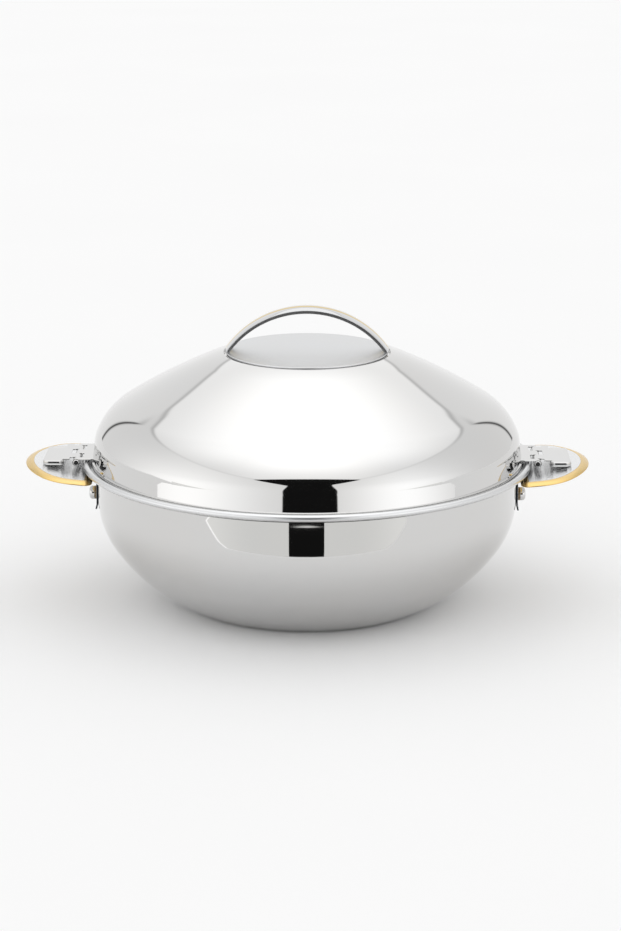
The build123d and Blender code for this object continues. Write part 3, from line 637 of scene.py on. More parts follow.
# %% Inner bowl
LINER = 10.0
FLOOR_TOP = 10.8
MOUTH_ROUNDING = 1.5
BEAD_CENTRE, BEAD_HEIGHT, BEAD_RADIUS = 147.75, 95.45, 2.25
CURL_END = 262.0
bead_top_joint = 180 + math.degrees(math.asin((BEAD_HEIGHT - LEDGE) / BEAD_RADIUS))
bead_low_joint = 180 + math.degrees(math.asin((BEAD_HEIGHT - LEDGE + SHEET) / (BEAD_RADIUS - SHEET)))
joint_x = BEAD_CENTRE + BEAD_RADIUS * cos(bead_top_joint)
curl_x = BEAD_CENTRE + (BEAD_RADIUS - SHEET) * cos(CURL_END)
curl_z = BEAD_HEIGHT + (BEAD_RADIUS - SHEET) * sin(CURL_END)
visible = LINER + SHEET

pen = Pen(0, FLOOR_TOP)
pen.line_to(foot_radius(visible, FLOOR_TOP), FLOOR_TOP, 16)
up_the_wall(pen, visible, FLOOR_TOP, LEDGE - MOUTH_ROUNDING)
pen.arc(MOUTH_ROUNDING, -90, 6)
pen.line_to(joint_x, LEDGE, 3)
pen.heading = bead_top_joint - 90
pen.arc(BEAD_RADIUS, -(bead_top_joint - (CURL_END - 360)), 36)
pen.line_to(curl_x, curl_z)
pen.heading = CURL_END - 360 + 90
pen.arc(BEAD_RADIUS - SHEET, bead_low_joint - (CURL_END - 360), 30)
pen.line_to(WALL - LINER, LEDGE - SHEET, 3)
down_the_wall(pen, LINER, FLOOR_TOP - SHEET)
pen.line_to(0, FLOOR_TOP - SHEET, 16)
liner = revolve(pen.bm)
soften(liner, 2.5, where=lambda e: middle(e).z < 20)
soften(liner, 0.5, where=lambda e: middle(e).z >= LEDGE)


def paint(bm, index, where):
    """Gives the faces that pass a test another finish."""
    for face in bm.faces:
        if where(face.calc_center_median()):
            face.material_index = index


paint(liner, 1, lambda c: c.z > LEDGE - SHEET - 0.1 and math.hypot(c.x, c.y) > WALL - LINER + 1)
liner_finishes = [satin_steel, rim_satin]
finish_piece(liner, "bowl_liner_and_rim", "bowl", liner_finishes, ["inner_bowl"])

# %% [markdown]
# ## The lid
#
# The lid is a shallow bell: an upright skirt just inside the rim, a shoulder, a long slope that is
# almost a cone, and a crown around the handle. Four arcs that meet at tangents give that line, and
# it matters that they do, because a mirror shows any kink at once. In the middle the sheet drops
# into a round recess, which the cap closes.

# %% Lid, outer shell
LID_RADIUS, LID_WIDEST = 141.7, 107.9
LID_ARCS = ((17.6, 20.5, 14), (41.7, 57.8, 26), (408.0, 66.4, 16))
SKIRT_STEPS, SKIRT_LEAN, SKIRT_HOLD = 5, 1.5, 0.03
CROWN_RADIUS = 129.2
FLANGE, FLANGE_JOINT = 144.1, 96.7
RECESS, RECESS_EDGE, RECESS_FLOOR = 55.176, 168.703, 166.253

crown_x, crown_z, radius_before, angle = LID_RADIUS, LID_WIDEST, 0, 0
for arc_radius, angle_after, _ in LID_ARCS + ((CROWN_RADIUS, 0, 0),):
    crown_x += (radius_before - arc_radius) * cos(angle)
    crown_z += (radius_before - arc_radius) * sin(angle)
    radius_before, angle = arc_radius, angle_after
slope_angle = LID_ARCS[-1][1]
print("the crown's centre in mm:", round(crown_x, 2), round(crown_z, 2))


def crown_turn(inset, last_radius):
    """Degrees turned on the crown, from the slope to a radius."""
    return math.degrees(math.acos((last_radius - crown_x) / (CROWN_RADIUS - inset))) - slope_angle


pen = Pen(FLANGE, FLANGE_JOINT)
pen.line_to(FLANGE, FLANGE_JOINT + SHEET)
skirt_rise = LID_WIDEST - FLANGE_JOINT - SHEET
pen.line_to(LID_RADIUS + SKIRT_LEAN, FLANGE_JOINT + SHEET, 2)
pen.line_to(LID_RADIUS + SKIRT_LEAN * (1 - SKIRT_HOLD), LID_WIDEST - skirt_rise * (1 - SKIRT_HOLD))
pen.line_to(LID_RADIUS, LID_WIDEST, SKIRT_STEPS)
pen.heading = 90
angle_before = 0
for arc_radius, angle_after, steps in LID_ARCS:
    pen.arc(arc_radius, angle_after - angle_before, steps)
    angle_before = angle_after
pen.arc(CROWN_RADIUS, crown_turn(0, RECESS), 10)
pen.line_to(RECESS, RECESS_FLOOR, 2).line_to(FILLER, RECESS_FLOOR, 6)
pen.line_to(FILLER, RECESS_FLOOR - SHEET).line_to(RECESS + SHEET, RECESS_FLOOR - SHEET, 6)
inner_turn = crown_turn(SHEET, RECESS + SHEET)
inner_height = (CROWN_RADIUS - SHEET) * sin(slope_angle + inner_turn)
pen.line_to(RECESS + SHEET, crown_z + inner_height)
pen.heading = slope_angle + inner_turn - 90
pen.arc(CROWN_RADIUS - SHEET, -inner_turn, 10)
starts = (0,) + tuple(angle_after for _, angle_after, _ in LID_ARCS[:-1])
for (arc_radius, angle_after, steps), angle_before in reversed(tuple(zip(LID_ARCS, starts))):
    pen.arc(arc_radius - SHEET, angle_before - angle_after, steps)
pen.line_to(LID_RADIUS - SHEET, FLANGE_JOINT, SKIRT_STEPS).line_to(FLANGE, FLANGE_JOINT, 3)
lid = revolve(pen.close())
soften(lid, 0.2, where=lambda e: math.hypot(*middle(e).xy) > FLANGE - 0.3)
soften(lid, 0.6, where=lambda e: middle(e).z > RECESS_EDGE - 0.1)
finish_piece(lid, "lid_outer_shell", "lid", [polished_steel], ["lid_outer"])

# %% Lid, inner shell
PLUG_RADIUS, PLUG_BOTTOM, PLUG_WEB = 128.2, 90.0, 6.2
CEILING_RISE = 62.0
FLANGE_BOTTOM = FLANGE_JOINT - SHEET
web_edge = PLUG_RADIUS - PLUG_WEB
dome_radius = (web_edge ** 2 + CEILING_RISE ** 2) / (2 * CEILING_RISE)
dome_centre = PLUG_BOTTOM + CEILING_RISE - dome_radius
dome_turn = math.degrees(math.asin(web_edge / dome_radius))
hidden_turn = math.degrees(math.acos((PLUG_BOTTOM + SHEET - dome_centre) / (dome_radius + SHEET)))

pen = Pen(0, PLUG_BOTTOM + CEILING_RISE)
pen.heading = 0
pen.arc(dome_radius, -dome_turn, 40)
pen.line_to(PLUG_RADIUS, PLUG_BOTTOM, 2).line_to(PLUG_RADIUS, FLANGE_BOTTOM, 3)
pen.line_to(FLANGE, FLANGE_BOTTOM, 4).line_to(FLANGE, FLANGE_JOINT)
pen.line_to(PLUG_RADIUS - SHEET, FLANGE_JOINT, 4).line_to(PLUG_RADIUS - SHEET, PLUG_BOTTOM + SHEET, 3)
pen.line_to((dome_radius + SHEET) * sin(hidden_turn), PLUG_BOTTOM + SHEET, 2)
pen.heading = 180 - hidden_turn
pen.arc(dome_radius + SHEET, hidden_turn, 40)
ceiling_shell = revolve(pen.bm)
soften(ceiling_shell, 0.3, where=lambda e: math.hypot(*middle(e).xy) > FLANGE - 1)
soften(ceiling_shell, 1.0, where=lambda e: middle(e).z < PLUG_BOTTOM + 0.3)
finish_piece(ceiling_shell, "lid_inner_shell", "lid", [satin_steel], ["lid_inner"])

# %% [markdown]
# ## The cap in the lid's recess
#
# A shallow pressed disc hides the feet of the lid's handle, and two notches let the strap through.
# Its outline is flat, so the pen draws the plan and a quarter turn lays it down. The face is
# extruded, its upper edge is rounded as a press leaves it, and the open cup then gets the thickness
# of the sheet.

# %% Lid cap
CAP_RADIUS, CAP_TOP, NOTCH_X, NOTCH_HALF = 53.876, 169.553, 50.876, 10.3


def lay_flat(bm, level):
    """Lays a drawing in the XZ plane down as a plan, at a level."""
    return move(rotate(bm, -90, "X"), 0, 0, level)


def ends(made, kind):
    """The parts of one kind in an operator's answer."""
    return [g for g in made if isinstance(g, kind)]


def fill_holes(bm):
    """Closes every open end with a face and turns all faces outwards."""
    bmesh.ops.holes_fill(bm, edges=[e for e in bm.edges if len(e.link_faces) == 1], sides=0)
    bmesh.ops.recalc_face_normals(bm, faces=bm.faces[:])
    return bm


def prism(bm, height):
    """Fills a closed plan and extrudes it upwards, or downwards where the height is negative."""
    made = bmesh.ops.contextual_create(bm, geom=bm.edges[:])
    made = bmesh.ops.extrude_face_region(bm, geom=made["faces"])["geom"]
    bmesh.ops.translate(bm, verts=ends(made, bmesh.types.BMVert), vec=(0, 0, height))
    return fill_holes(bm)


def flat_faces(bm, direction, level):
    """The faces at a level that look straight up, for 1, or straight down, for -1."""
    return [
        f for f in bm.faces
        if f.normal.z * direction > 0.95 and abs(f.calc_center_median().z - level) < 0.01
    ]


notch_turn = math.degrees(math.asin(NOTCH_HALF / CAP_RADIUS))
rim_x = CAP_RADIUS * cos(notch_turn)
pen = Pen(rim_x, NOTCH_HALF, heading=90 + notch_turn)
pen.arc(CAP_RADIUS, 180 - 2 * notch_turn, 90)
pen.line_to(-NOTCH_X, NOTCH_HALF).line_to(-NOTCH_X, -NOTCH_HALF).line_to(-rim_x, -NOTCH_HALF)
pen.heading = notch_turn - 90
pen.arc(CAP_RADIUS, 180 - 2 * notch_turn, 90)
pen.line_to(NOTCH_X, -NOTCH_HALF).line_to(NOTCH_X, NOTCH_HALF).line_to(rim_x, NOTCH_HALF)
cap = prism(lay_flat(pen.close(), RECESS_FLOOR), CAP_TOP - RECESS_FLOOR)
soften(cap, 0.45, segments=4, sharper_than=40, where=lambda e: middle(e).z > CAP_TOP - 0.01)
bmesh.ops.delete(cap, geom=flat_faces(cap, -1, RECESS_FLOOR), context="FACES_ONLY")
bmesh.ops.solidify(cap, geom=cap.faces[:], thickness=SHEET)
finish_piece(cap, "lid_cap_disc", "lid", [cap_satin], ["lid_cap"])

# %% [markdown]
# ## Gilding
#
# The handles carry bands of gold colour, a thin layer of titanium nitride on the steel. It shines as
# the metal under it does, bright on the strap and duller on the side handles' borders, and only the
# reflection is tinted. On the strap, a mask of Object coordinates mixes gold and steel, with an edge
# as soft as the masking lacquer leaves it. A noise thins the gold where hands rub.

# %% Gilt finishes
GOLD = (0.71, 0.505, 0.2, 1.0)
GOLD_WORN = (0.7, 0.53, 0.26, 1.0)
BRONZE = (0.22, 0.17, 0.11, 1.0)
STRAP_GOLD = (0.62, 0.45, 0.14, 1.0)
STRAP_STEEL = (0.66, 0.665, 0.672, 1.0)
STRIPE_HALF, STRIPE_BLUR = 2.6, 0.15


def gilded(name, stripe_half=None, tint=GOLD, worn=GOLD_WORN, dull=0.05):
    """Metal tinted with gold, everywhere or in a stripe along the middle."""
    material, bench = new_finish(name)
    rubbed = bench.ease(bench.noise(60.0, 4.0), 0.45, 0.75)
    colour = bench.mix(rubbed, tint, worn)
    if stripe_half:
        outside = bench.ease(abs(bench.along("Y")), stripe_half - STRIPE_BLUR, stripe_half + STRIPE_BLUR)
        colour = bench.mix(outside, colour, STRAP_STEEL)
    polish = dull + rubbed * 0.04 + bench.noise(900.0) * 0.01
    shade(bench, Base_Color=colour, Metallic=1.0, Roughness=polish)
    return material


gilt_metal = gilded("gilt_metal")
gilt_border = gilded("gilt_border", dull=0.2)
bronze = gilded("brown_bronze", tint=BRONZE, worn=BRONZE, dull=0.3)
gilt_striped = gilded("gilt_striped_steel", STRIPE_HALF, tint=STRAP_GOLD, worn=STRAP_GOLD)
print("the strap's stripe is", 2 * STRIPE_HALF, "mm wide")

# %% [markdown]
# ## The strap handle
#
# The lid's handle is a strip of thick sheet, slightly domed across so that it is stiff and kind to
# the fingers, bent into an arch whose ends turn back in under the cap. A ring of edges in the shape
# of the strip's section is swept: an arc for the arch, a tight arc for the bend, a straight run for
# the foot. Half of it is enough, because the mirror operator makes the other half.

# %% Strap handle
STRAP_TOP, STRAP_RADIUS, STRAP_TURN = 198.953, 66.211, 53.74
STRAP_SHEET, STRAP_HALF, STRAP_DOME = 2.3, 10.0, 0.95
STRAP_BEND, STRAP_BEND_X, STRAP_FOOT = 3.55, 50.526, 14.0


def sweep_run(bm, ring, vec, steps=1):
    """Carries a ring of edges along a straight run and returns it at the far end."""
    for _ in range(steps):
        made = bmesh.ops.extrude_edge_only(bm, edges=ring)["geom"]
        bmesh.ops.translate(bm, verts=ends(made, bmesh.types.BMVert), vec=Vector(vec) / steps)
        ring = ends(made, bmesh.types.BMEdge)
        ring = [e for e in ring if all(v in ends(made, bmesh.types.BMVert) for v in e.verts)]
    return ring


def sweep_arc(bm, ring, centre, axis, turn, steps):
    """Carries a ring of edges around an axis and returns it at the far end."""
    corners = list({v for e in ring for v in e.verts})
    made = bmesh.ops.spin(
        bm, geom=corners + ring, cent=centre, axis=axis, angle=math.radians(turn), steps=steps,
    )
    return ends(made["geom_last"], bmesh.types.BMEdge)


dome_radius_across = (STRAP_HALF ** 2 + STRAP_DOME ** 2) / (2 * STRAP_DOME)
dome_turn_across = math.degrees(math.asin(STRAP_HALF / dome_radius_across))
pen = Pen(-STRAP_HALF, STRAP_TOP - STRAP_DOME, heading=dome_turn_across)
pen.arc(dome_radius_across, -2 * dome_turn_across, 16)
pen.line_to(STRAP_HALF, STRAP_TOP - STRAP_DOME - STRAP_SHEET, 2)
pen.heading = 180 - dome_turn_across
pen.arc(dome_radius_across, 2 * dome_turn_across, 16)
pen.line_to(-STRAP_HALF, STRAP_TOP - STRAP_DOME, 2)
strap = rotate(pen.close(), 90, "Z")
ring = sweep_arc(strap, strap.edges[:], (0, 0, STRAP_TOP - STRAP_RADIUS), (0, 1, 0), STRAP_TURN, 48)
bend_centre = (STRAP_BEND_X, 0, RECESS_FLOOR + STRAP_BEND)
ring = sweep_arc(strap, ring, bend_centre, (0, 1, 0), 180 - STRAP_TURN, 16)
ring = sweep_run(strap, ring, (-STRAP_FOOT, 0, 0), 2)
bmesh.ops.edgeloop_fill(strap, edges=ring)
half_strap = strap.verts[:] + strap.edges[:] + strap.faces[:]
bmesh.ops.mirror(strap, geom=half_strap, axis="X", merge_dist=0.001)
bmesh.ops.remove_doubles(strap, verts=strap.verts[:], dist=0.001)
fill_holes(strap)
soften(strap, 0.4, segments=4, sharper_than=60)
paint(strap, 1, lambda c: abs(c.y) > STRAP_HALF - 0.25)
strap_finishes = [gilt_striped, cut_edge]
finish_piece(strap, "lid_strap_handle", "lid", strap_finishes, ["lid_handle"])

# %% [markdown]
# ## The side handles
#
# Each handle is one stamping: a satin plate with a rounded end, a gilt border that curves down and
# outwards, and a tab that turns down along the wall. The border is a thin curved section swept once
# around the outline, along straight runs and arcs. The plate inside it is a prism, and the tab is an
# L-shaped profile spun through a few degrees about the pot's axis, so that it hugs the wall.

# %% Side handle outline
HANDLE_HEIGHT, HANDLE_SLOPE = 91.0, 5.5
REACH, BOW, HANDLE_HALF, SIDE_ARC, CORNER = 48.0, 35.7, 51.5, 27.0, 6.5
PLATE_SHEET, PLATE_DROP, WALL_GAP = 1.2, -0.5, 0.2
BORDER, BORDER_BOTTOM, LIP = 5.2, 2.1, 0.6
TIP_ARC = (BOW ** 2 + HANDLE_HALF ** 2 - 2 * HANDLE_HALF * SIDE_ARC) / (2 * (BOW - SIDE_ARC))
SIDE_TURN = 90 - math.degrees(math.atan2(HANDLE_HALF - SIDE_ARC, TIP_ARC - BOW))
straight_end = REACH - BOW
corner_end = WALL_GAP + CORNER
rise = math.tan(math.radians(HANDLE_SLOPE))


def on_the_slope(bm):
    """Carries a drawing from the plate's own plane to its place on the wall."""
    return move(rotate(bm, -HANDLE_SLOPE, "Y"), WALL, 0, HANDLE_HEIGHT)


def join(whole, part):
    """Adds one bmesh to another and frees it."""
    mesh = bpy.data.meshes.new("part")
    part.to_mesh(mesh)
    part.free()
    whole.from_mesh(mesh)
    bpy.data.meshes.remove(mesh)
    return whole


flat_half = HANDLE_HALF - BORDER
pen = Pen(corner_end, -flat_half)
pen.line_to(straight_end, -flat_half, 2).arc(SIDE_ARC - BORDER, SIDE_TURN, 14)
pen.arc(TIP_ARC - BORDER, 180 - 2 * SIDE_TURN, 36).arc(SIDE_ARC - BORDER, SIDE_TURN, 14)
pen.line_to(corner_end, flat_half, 2).arc(CORNER - BORDER, 90, 8)
pen.line_to(WALL_GAP + BORDER, CORNER - HANDLE_HALF, 6).arc(CORNER - BORDER, 90, 8)
plate = prism(lay_flat(pen.close(), -PLATE_DROP), -PLATE_SHEET)

fall = BORDER_BOTTOM - LIP - PLATE_DROP
border_turn = 2 * math.degrees(math.atan(fall / BORDER))
pen = Pen(-BORDER, -PLATE_DROP)
pen.arc(BORDER / sin(border_turn), -border_turn, 10)
pen.line_to(0, -BORDER_BOTTOM).line_to(-SHEET, -BORDER_BOTTOM)
pen.line_to(-BORDER, -PLATE_DROP - PLATE_SHEET, 3).line_to(-BORDER, -PLATE_DROP)
tube = move(rotate(pen.close(), -90, "Z"), corner_end, -HANDLE_HALF, 0)
ring = sweep_run(tube, tube.edges[:], (straight_end - corner_end, 0, 0), 2)
up_axis = (0, 0, 1)
ring = sweep_arc(tube, ring, (straight_end, SIDE_ARC - HANDLE_HALF, 0), up_axis, SIDE_TURN, 16)
ring = sweep_arc(tube, ring, (REACH - TIP_ARC, 0, 0), up_axis, 180 - 2 * SIDE_TURN, 40)
ring = sweep_arc(tube, ring, (straight_end, HANDLE_HALF - SIDE_ARC, 0), up_axis, SIDE_TURN, 16)
ring = sweep_run(tube, ring, (corner_end - straight_end, 0, 0), 2)
ring = sweep_arc(tube, ring, (corner_end, HANDLE_HALF - CORNER, 0), up_axis, 90, 10)
ring = sweep_run(tube, ring, (0, 2 * (CORNER - HANDLE_HALF), 0), 6)
sweep_arc(tube, ring, (corner_end, CORNER - HANDLE_HALF, 0), up_axis, 90, 10)
bmesh.ops.remove_doubles(tube, verts=tube.verts[:], dist=0.002)
bmesh.ops.recalc_face_normals(tube, faces=tube.faces[:])
on_the_slope(plate)
soften(on_the_slope(tube), 0.25, sharper_than=35)
print("tip arc of the outline in mm:", round(TIP_ARC, 1))

# %% Side handle tab
TAB_HALF_TURN = 4.917
TAB_BOTTOM, TAB_FLARE, TAB_FLARE_HEIGHT = 62.7, 0.9, 3.5
TAB_BEND, TAB_HOLLOW, TAB_UNDER_PLATE = 3.0, 1.8, 4.0
top_line = HANDLE_HEIGHT - PLATE_DROP / cos(HANDLE_SLOPE)
bend_x = WALL + TAB_BEND
bend_start = bend_x - TAB_BEND * sin(HANDLE_SLOPE)
bend_z = top_line + (bend_start - WALL) * rise - TAB_BEND * cos(HANDLE_SLOPE)
far_x = bend_x + TAB_UNDER_PLATE

pen = Pen(far_x, top_line + (far_x - WALL) * rise)
pen.line_to(bend_start, bend_z + TAB_BEND * cos(HANDLE_SLOPE), 2)
pen.arc(TAB_BEND, 90 - HANDLE_SLOPE, 8)
pen.line_to(WALL, TAB_BOTTOM + TAB_FLARE_HEIGHT, 4).line_to(WALL + TAB_FLARE, TAB_BOTTOM)
pen.line_to(WALL + PLATE_SHEET + TAB_FLARE, TAB_BOTTOM)
pen.line_to(WALL + PLATE_SHEET, TAB_BOTTOM + TAB_FLARE_HEIGHT).line_to(WALL + PLATE_SHEET, bend_z, 4)
pen.arc(TAB_HOLLOW, HANDLE_SLOPE - 90, 8)
pen.line_to(far_x, top_line + (far_x - WALL) * rise - PLATE_SHEET, 2)
pen.line_to(far_x, top_line + (far_x - WALL) * rise)
tab = pen.close()


def sector(bm, half_turn, steps):
    """Spins a closed profile through an angle on both sides of the +X direction."""
    rotate(bm, -half_turn, "Z")
    bmesh.ops.spin(
        bm, geom=bm.verts[:] + bm.edges[:], cent=(0, 0, 0), axis=(0, 0, 1),
        angle=math.radians(2 * half_turn), steps=steps,
    )
    return fill_holes(bm)


soften(sector(tab, TAB_HALF_TURN, 10), 0.5, sharper_than=60)
print("tab from", TAB_BOTTOM, "to", round(top_line, 1), "mm")

# %% Side handle pieces
def on_both_sides(bm, name, body, finishes, stands_for=()):
    """Finishes a right-hand piece and its mirror image on the left."""
    for side, mirrored in (("right", 1), ("left", -1)):
        own = bm.copy()
        bmesh.ops.scale(own, verts=own.verts[:], vec=(mirrored, 1, 1))
        if mirrored < 0:
            bmesh.ops.reverse_faces(own, faces=own.faces[:])
        nodes = [f"{side}_{node}" for node in stands_for]
        finish_piece(own, f"{side}_{name}", body.format(side=side), finishes, nodes)
    bm.free()


for part in (plate, tab):
    paint(part, 1, lambda c: True)
# Painted shade: the tab's faces against the wall and the lower ends of its sides take the near-black gap
# finish, in place of the shade between tab and wall.
paint(tab, 2, lambda c: math.hypot(c.x, c.y) < WALL + 0.4 and c.z < bend_z)
side_turn = math.radians(TAB_HALF_TURN - 0.1)
paint(tab, 2, lambda c: math.atan2(abs(c.y), c.x) > side_turn and c.z < bend_z - 2)
join(plate, tube)
join(plate, tab)
handle_finishes = [gilt_border, plate_satin, painted_gap_shade]
on_both_sides(plate, "side_handle", "bowl", handle_finishes, ["handle_plate"])

# %% [markdown]
# ## Rivets, collars and catch studs
#
# Each tab is held by one large rivet with a rounded head, which stands off on a brown bronze collar. On
# each plate stands the stud that the latch closes over, turned on a lathe. Turned parts are profiles
# spun about the Z axis and then laid into place. One small function serves most of them: it takes
# steps of radius and height and rounds the corners between them.

# %% Turned parts
RIVET_X, RIVET_Z = 141.2, 71.3
RIVET_HEAD, RIVET_LENGTH, RIVET_ROUNDING = 4.55, 3.6, 2.2
COLLAR = 1.5


def turned(steps, rounding, around=48):
    """Spins steps of (radius, from height, to height) into one body and rounds its corners."""
    pen = Pen(0, steps[0][1])
    for radius, low, high in steps:
        pen.line_to(radius, low).line_to(radius, high)
    pen.line_to(0, steps[-1][2])
    bm = revolve(pen.bm, around)
    return soften(bm, rounding, segments=4, sharper_than=40)


def lay_along_x(bm, x, z):
    """Lays a turned part over, from the Z axis to the X direction, and carries it to its place."""
    return move(rotate(bm, 90, "Y"), x, 0, z)


rivet_base = RIVET_X + COLLAR
pen = Pen(0, 0)
pen.line_to(RIVET_HEAD, 0, 2).line_to(RIVET_HEAD, RIVET_LENGTH - RIVET_ROUNDING)
pen.heading = 90
pen.arc(RIVET_ROUNDING, 90, 10)
pen.line_to(0, RIVET_LENGTH, 3)
rivet = revolve(pen.bm, 48)
soften(rivet, 0.25, sharper_than=60)
lay_along_x(rivet, rivet_base, RIVET_Z)
on_both_sides(rivet, "rivet_head", "bowl", [polished_steel], ["handle_rivet"])

collar = turned([(RIVET_HEAD - 0.1, 0.0, COLLAR)], 0.25)
lay_along_x(collar, RIVET_X, RIVET_Z)
on_both_sides(collar, "rivet_washer", "bowl", [bronze], ["rivet_collar"])

STUD_REACH = 28.5
STUD_LEVELS = ((3.2, -2.9, -2.1), (2.2, -2.1, -0.9), (3.4, -0.9, 0.3), (2.2, 0.3, 1.3), (3.0, 1.3, 2.5))
stud = on_the_slope(move(turned(STUD_LEVELS, 0.25, 40), STUD_REACH, 0, 0))
on_both_sides(stud, "catch_button", "bowl", [polished_steel], ["catch_stud"])

# %% [markdown]
# ## The latches
#
# On each side a bracket is riveted to the lid's flange. It rises over the rolled rim and ends in three
# knuckles, and between them sit the two knuckles of the tongue, which a pin joins to it. The tongue's
# outer end is a shallow tray turned upside down, which the finger lifts and which hides the stud.
# Small straight forms like these are quickest as plans drawn with the pen and extruded.

# %% Latch bracket
HINGE_X, HINGE_Z = 152.85, 97.2
KNUCKLE, LATCH_SHEET = 2.6, 0.9
BRACKET_TOP = HINGE_Z + KNUCKLE
BRACKET_HALF, MIDDLE_KNUCKLE, END_KNUCKLE, KNUCKLE_GAP = 20.5, 5.5, 16.0, 0.25
FOOT_INNER, FOOT_OUTER, FOOT_TURN = 142.9, 144.0, 23.5
LEG_INNER, LEG_TURN, NOTCH = 142.7, 7.78, 4.3
LEG_IN_FOOT, LEG_BELOW_TOP = 0.4, 0.3
FOOT_BOTTOM = FLANGE_JOINT + SHEET


def plank(inner, outer, bottom, top):
    """A closed rectangle in the XZ plane."""
    pen = Pen(inner, bottom)
    pen.line_to(outer, bottom).line_to(outer, top)
    return pen.line_to(inner, top).line_to(inner, bottom).close()


def barrel(start, end, radius, rounding=0.2, segments=40):
    """A short round bar along Y on the hinge's axis."""
    bm = bmesh.new()
    bmesh.ops.create_cone(
        bm, cap_ends=True, segments=segments, radius1=radius, radius2=radius, depth=end - start,
    )
    move(rotate(bm, 90, "X"), HINGE_X, (start + end) / 2, HINGE_Z)
    return soften(bm, rounding, segments=2, sharper_than=60)


bracket = sector(plank(FOOT_INNER, FOOT_OUTER, FOOT_BOTTOM, FOOT_BOTTOM + LATCH_SHEET), FOOT_TURN, 40)
soften(bracket, 0.2, segments=2, sharper_than=60)
leg_bottom = FOOT_BOTTOM + LATCH_SHEET - LEG_IN_FOOT
leg = plank(LEG_INNER, FOOT_OUTER, leg_bottom, BRACKET_TOP - LEG_BELOW_TOP)
join(bracket, sector(leg, LEG_TURN, 16))
back_turn = math.degrees(math.asin(BRACKET_HALF / LEG_INNER))
back_x = LEG_INNER * cos(back_turn)
notch_x = HINGE_X - NOTCH
low_edge, high_edge = MIDDLE_KNUCKLE - KNUCKLE_GAP, END_KNUCKLE + KNUCKLE_GAP
knuckles = ((-BRACKET_HALF, -high_edge), (-low_edge, low_edge), (high_edge, BRACKET_HALF))
pen = Pen(back_x, -BRACKET_HALF)
for inner, outer in knuckles:
    if inner > -BRACKET_HALF:
        pen.line_to(notch_x, inner)
    pen.line_to(HINGE_X, inner).line_to(HINGE_X, outer)
    if outer < BRACKET_HALF:
        pen.line_to(notch_x, outer)
pen.line_to(back_x, BRACKET_HALF)
pen.heading = back_turn - 90
pen.arc(LEG_INNER, -2 * back_turn, 16)
comb = prism(lay_flat(pen.close(), BRACKET_TOP - LATCH_SHEET), LATCH_SHEET)
soften(comb, 0.2, segments=2, sharper_than=60, where=lambda e: middle(e).x < HINGE_X - 0.1)
join(bracket, comb)
for start, end in knuckles:
    join(bracket, barrel(start, end, KNUCKLE))
on_both_sides(bracket, "hinge_bracket", "lid", [polished_steel], ["latch_bracket"])

# %% Bracket rivets and hinge pin
DOT_RADIUS, DOT_TURN, DOT_RISE = 143.1, 21.8, 0.7
DOT_SHANK, DOT_HEAD = 0.6, 1.0
PIN_RADIUS, PIN_HEAD, PIN_HEAD_LENGTH, PIN_HEAD_ROUNDING = 1.15, 2.0, 1.0, 0.9
foot_top = FOOT_BOTTOM + LATCH_SHEET
dots = bmesh.new()
for side_turn in (-DOT_TURN, DOT_TURN):
    levels = ((DOT_SHANK, FLANGE_BOTTOM, foot_top), (DOT_HEAD, foot_top, foot_top + DOT_RISE))
    dot = move(turned(levels, 0.3, 24), DOT_RADIUS, 0, 0)
    join(dots, rotate(dot, side_turn, "Z"))
on_both_sides(dots, "bracket_dots", "lid", [gilt_metal], ["bracket_rivets"])

pin = barrel(-BRACKET_HALF, BRACKET_HALF, PIN_RADIUS)
for start in (-BRACKET_HALF - PIN_HEAD_LENGTH, BRACKET_HALF):
    join(pin, barrel(start, start + PIN_HEAD_LENGTH, PIN_HEAD, PIN_HEAD_ROUNDING))
on_both_sides(pin, "hinge_axle", "lid", [polished_steel], ["hinge_pin"])

# %% Latch tongue
STRIP_START, TAB_START, TONGUE_REACH, TONGUE_HALF = 4.4, 8.3, 22.4, 20.0
TAB_DROP, TAB_HEIGHT, TAB_CORNER = 1.7, 2.7, 4.0
STEP_SHORTER, STEP_IN_TRAY = 0.3, 0.5
DISH_BORDER, DISH_SLOPE, DISH_DEPTH = 2.2, 0.5, 0.25
tray_top = BRACKET_TOP - TAB_DROP

strip_x, strip_end = HINGE_X + STRIP_START, HINGE_X + TAB_START + LATCH_SHEET
finger_in, finger_out = MIDDLE_KNUCKLE + KNUCKLE_GAP, END_KNUCKLE - KNUCKLE_GAP
pen = Pen(strip_x, -TONGUE_HALF)
pen.line_to(strip_end, -TONGUE_HALF).line_to(strip_end, TONGUE_HALF).line_to(strip_x, TONGUE_HALF)
for near, far in ((finger_out, finger_in), (-finger_in, -finger_out)):
    pen.line_to(strip_x, near).line_to(HINGE_X, near).line_to(HINGE_X, far).line_to(strip_x, far)
pen.line_to(strip_x, -TONGUE_HALF)
tongue = prism(lay_flat(pen.close(), BRACKET_TOP - LATCH_SHEET), LATCH_SHEET)
soften(tongue, 0.2, segments=3, sharper_than=60, where=lambda e: middle(e).x > HINGE_X + 0.1)
for start, end in ((finger_in, finger_out), (-finger_out, -finger_in)):
    join(tongue, barrel(start, end, KNUCKLE))
step_half = TONGUE_HALF - STEP_SHORTER
step = plank(HINGE_X + TAB_START, strip_end, -step_half, step_half)
join(tongue, prism(lay_flat(step, tray_top - STEP_IN_TRAY), TAB_DROP))

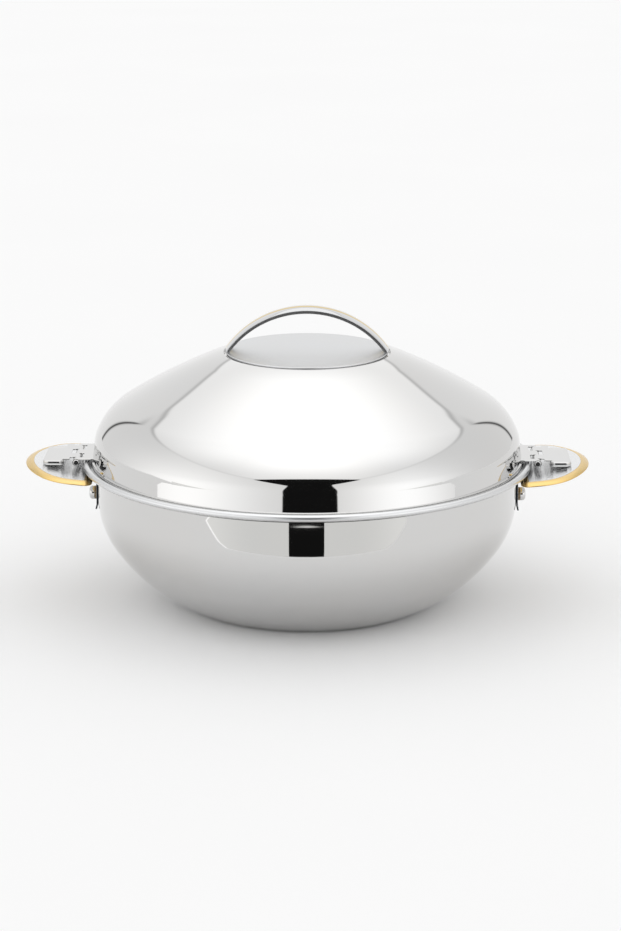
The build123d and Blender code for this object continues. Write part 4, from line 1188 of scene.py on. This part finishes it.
pen = Pen(HINGE_X + TAB_START, -TONGUE_HALF)
pen.line_to(HINGE_X + TONGUE_REACH - TAB_CORNER, -TONGUE_HALF, 3).arc(TAB_CORNER, 90, 10)
pen.line_to(HINGE_X + TONGUE_REACH, TONGUE_HALF - TAB_CORNER, 6).arc(TAB_CORNER, 90, 10)
pen.line_to(HINGE_X + TAB_START, TONGUE_HALF, 3).line_to(HINGE_X + TAB_START, -TONGUE_HALF, 6)
tray = prism(lay_flat(pen.close(), tray_top - TAB_HEIGHT), TAB_HEIGHT)
soften(tray, 0.7, segments=4, sharper_than=40,
       where=lambda e: middle(e).z > tray_top - 0.01 and middle(e).x > HINGE_X + TAB_START + 0.1)
hollow = flat_faces(tray, -1, tray_top - TAB_HEIGHT)
bmesh.ops.inset_region(tray, faces=hollow, thickness=LATCH_SHEET, use_even_offset=True)
made = bmesh.ops.extrude_face_region(tray, geom=hollow)["geom"]
bmesh.ops.translate(tray, verts=ends(made, bmesh.types.BMVert), vec=(0, 0, TAB_HEIGHT - LATCH_SHEET))
bmesh.ops.delete(tray, geom=hollow, context="FACES_ONLY")
dish = flat_faces(tray, 1, tray_top)
bmesh.ops.inset_region(tray, faces=dish, thickness=DISH_BORDER, use_even_offset=True)
bmesh.ops.inset_region(tray, faces=dish, thickness=DISH_SLOPE, depth=-DISH_DEPTH, use_even_offset=True)
join(tongue, tray)
on_both_sides(
    tongue, "tongue_clip", "{side}_latch", [polished_steel], ["latch_tongue"],
)

# %% [markdown]
# ## What stays as the CAD made it
#
# The foam between the shells, its two plugs, the plates behind the rivets and the four flush rivets
# under the cap have the right shape already, so they only get their finishes. Rigid polyurethane foam
# is pale yellow and has fine cells, which a bump makes of a Voronoi pattern. The plugs are moulded
# in grey plastic with the faint grain of a spark-eroded mould.

# %% Foam and plastic
foam, bench = new_finish("insulation_foam")
cells = bench.node("TexVoronoi", {"feature": "F1"}, output="Distance", Vector=bench.place(), Scale=700.0)
clouds = bench.noise(25.0, 3.0)
shade(
    bench,
    Base_Color=bench.mix(clouds, (0.83, 0.74, 0.48, 1), (0.88, 0.81, 0.6, 1)),
    Roughness=0.85 + clouds * 0.1,
    Normal=bench.node("Bump", Strength=0.5, Distance=0.0006, Height=cells),
)

plastic, bench = new_finish("plug_plastic")
grain, scuffs = bench.noise(2500.0), bench.noise(140.0, 4.0)
shade(
    bench,
    Base_Color=bench.mix(scuffs, (0.045, 0.045, 0.05, 1), (0.07, 0.07, 0.075, 1)),
    Roughness=0.42 + scuffs * 0.2,
    Normal=bench.node("Bump", Strength=0.25, Distance=0.0002, Height=grain),
)

for finish, names in (
    (foam, ("bowl_foam", "lid_foam")),
    (plastic, ("foam_plug", "lid_foam_plug")),
    (satin_steel, ("right_backing_plate", "left_backing_plate", "lid_handle_rivets")),
):
    for name in names:
        for material_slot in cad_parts[name].material_slots:
            material_slot.material = finish
        print(name, "keeps its CAD shape, in", finish.name)
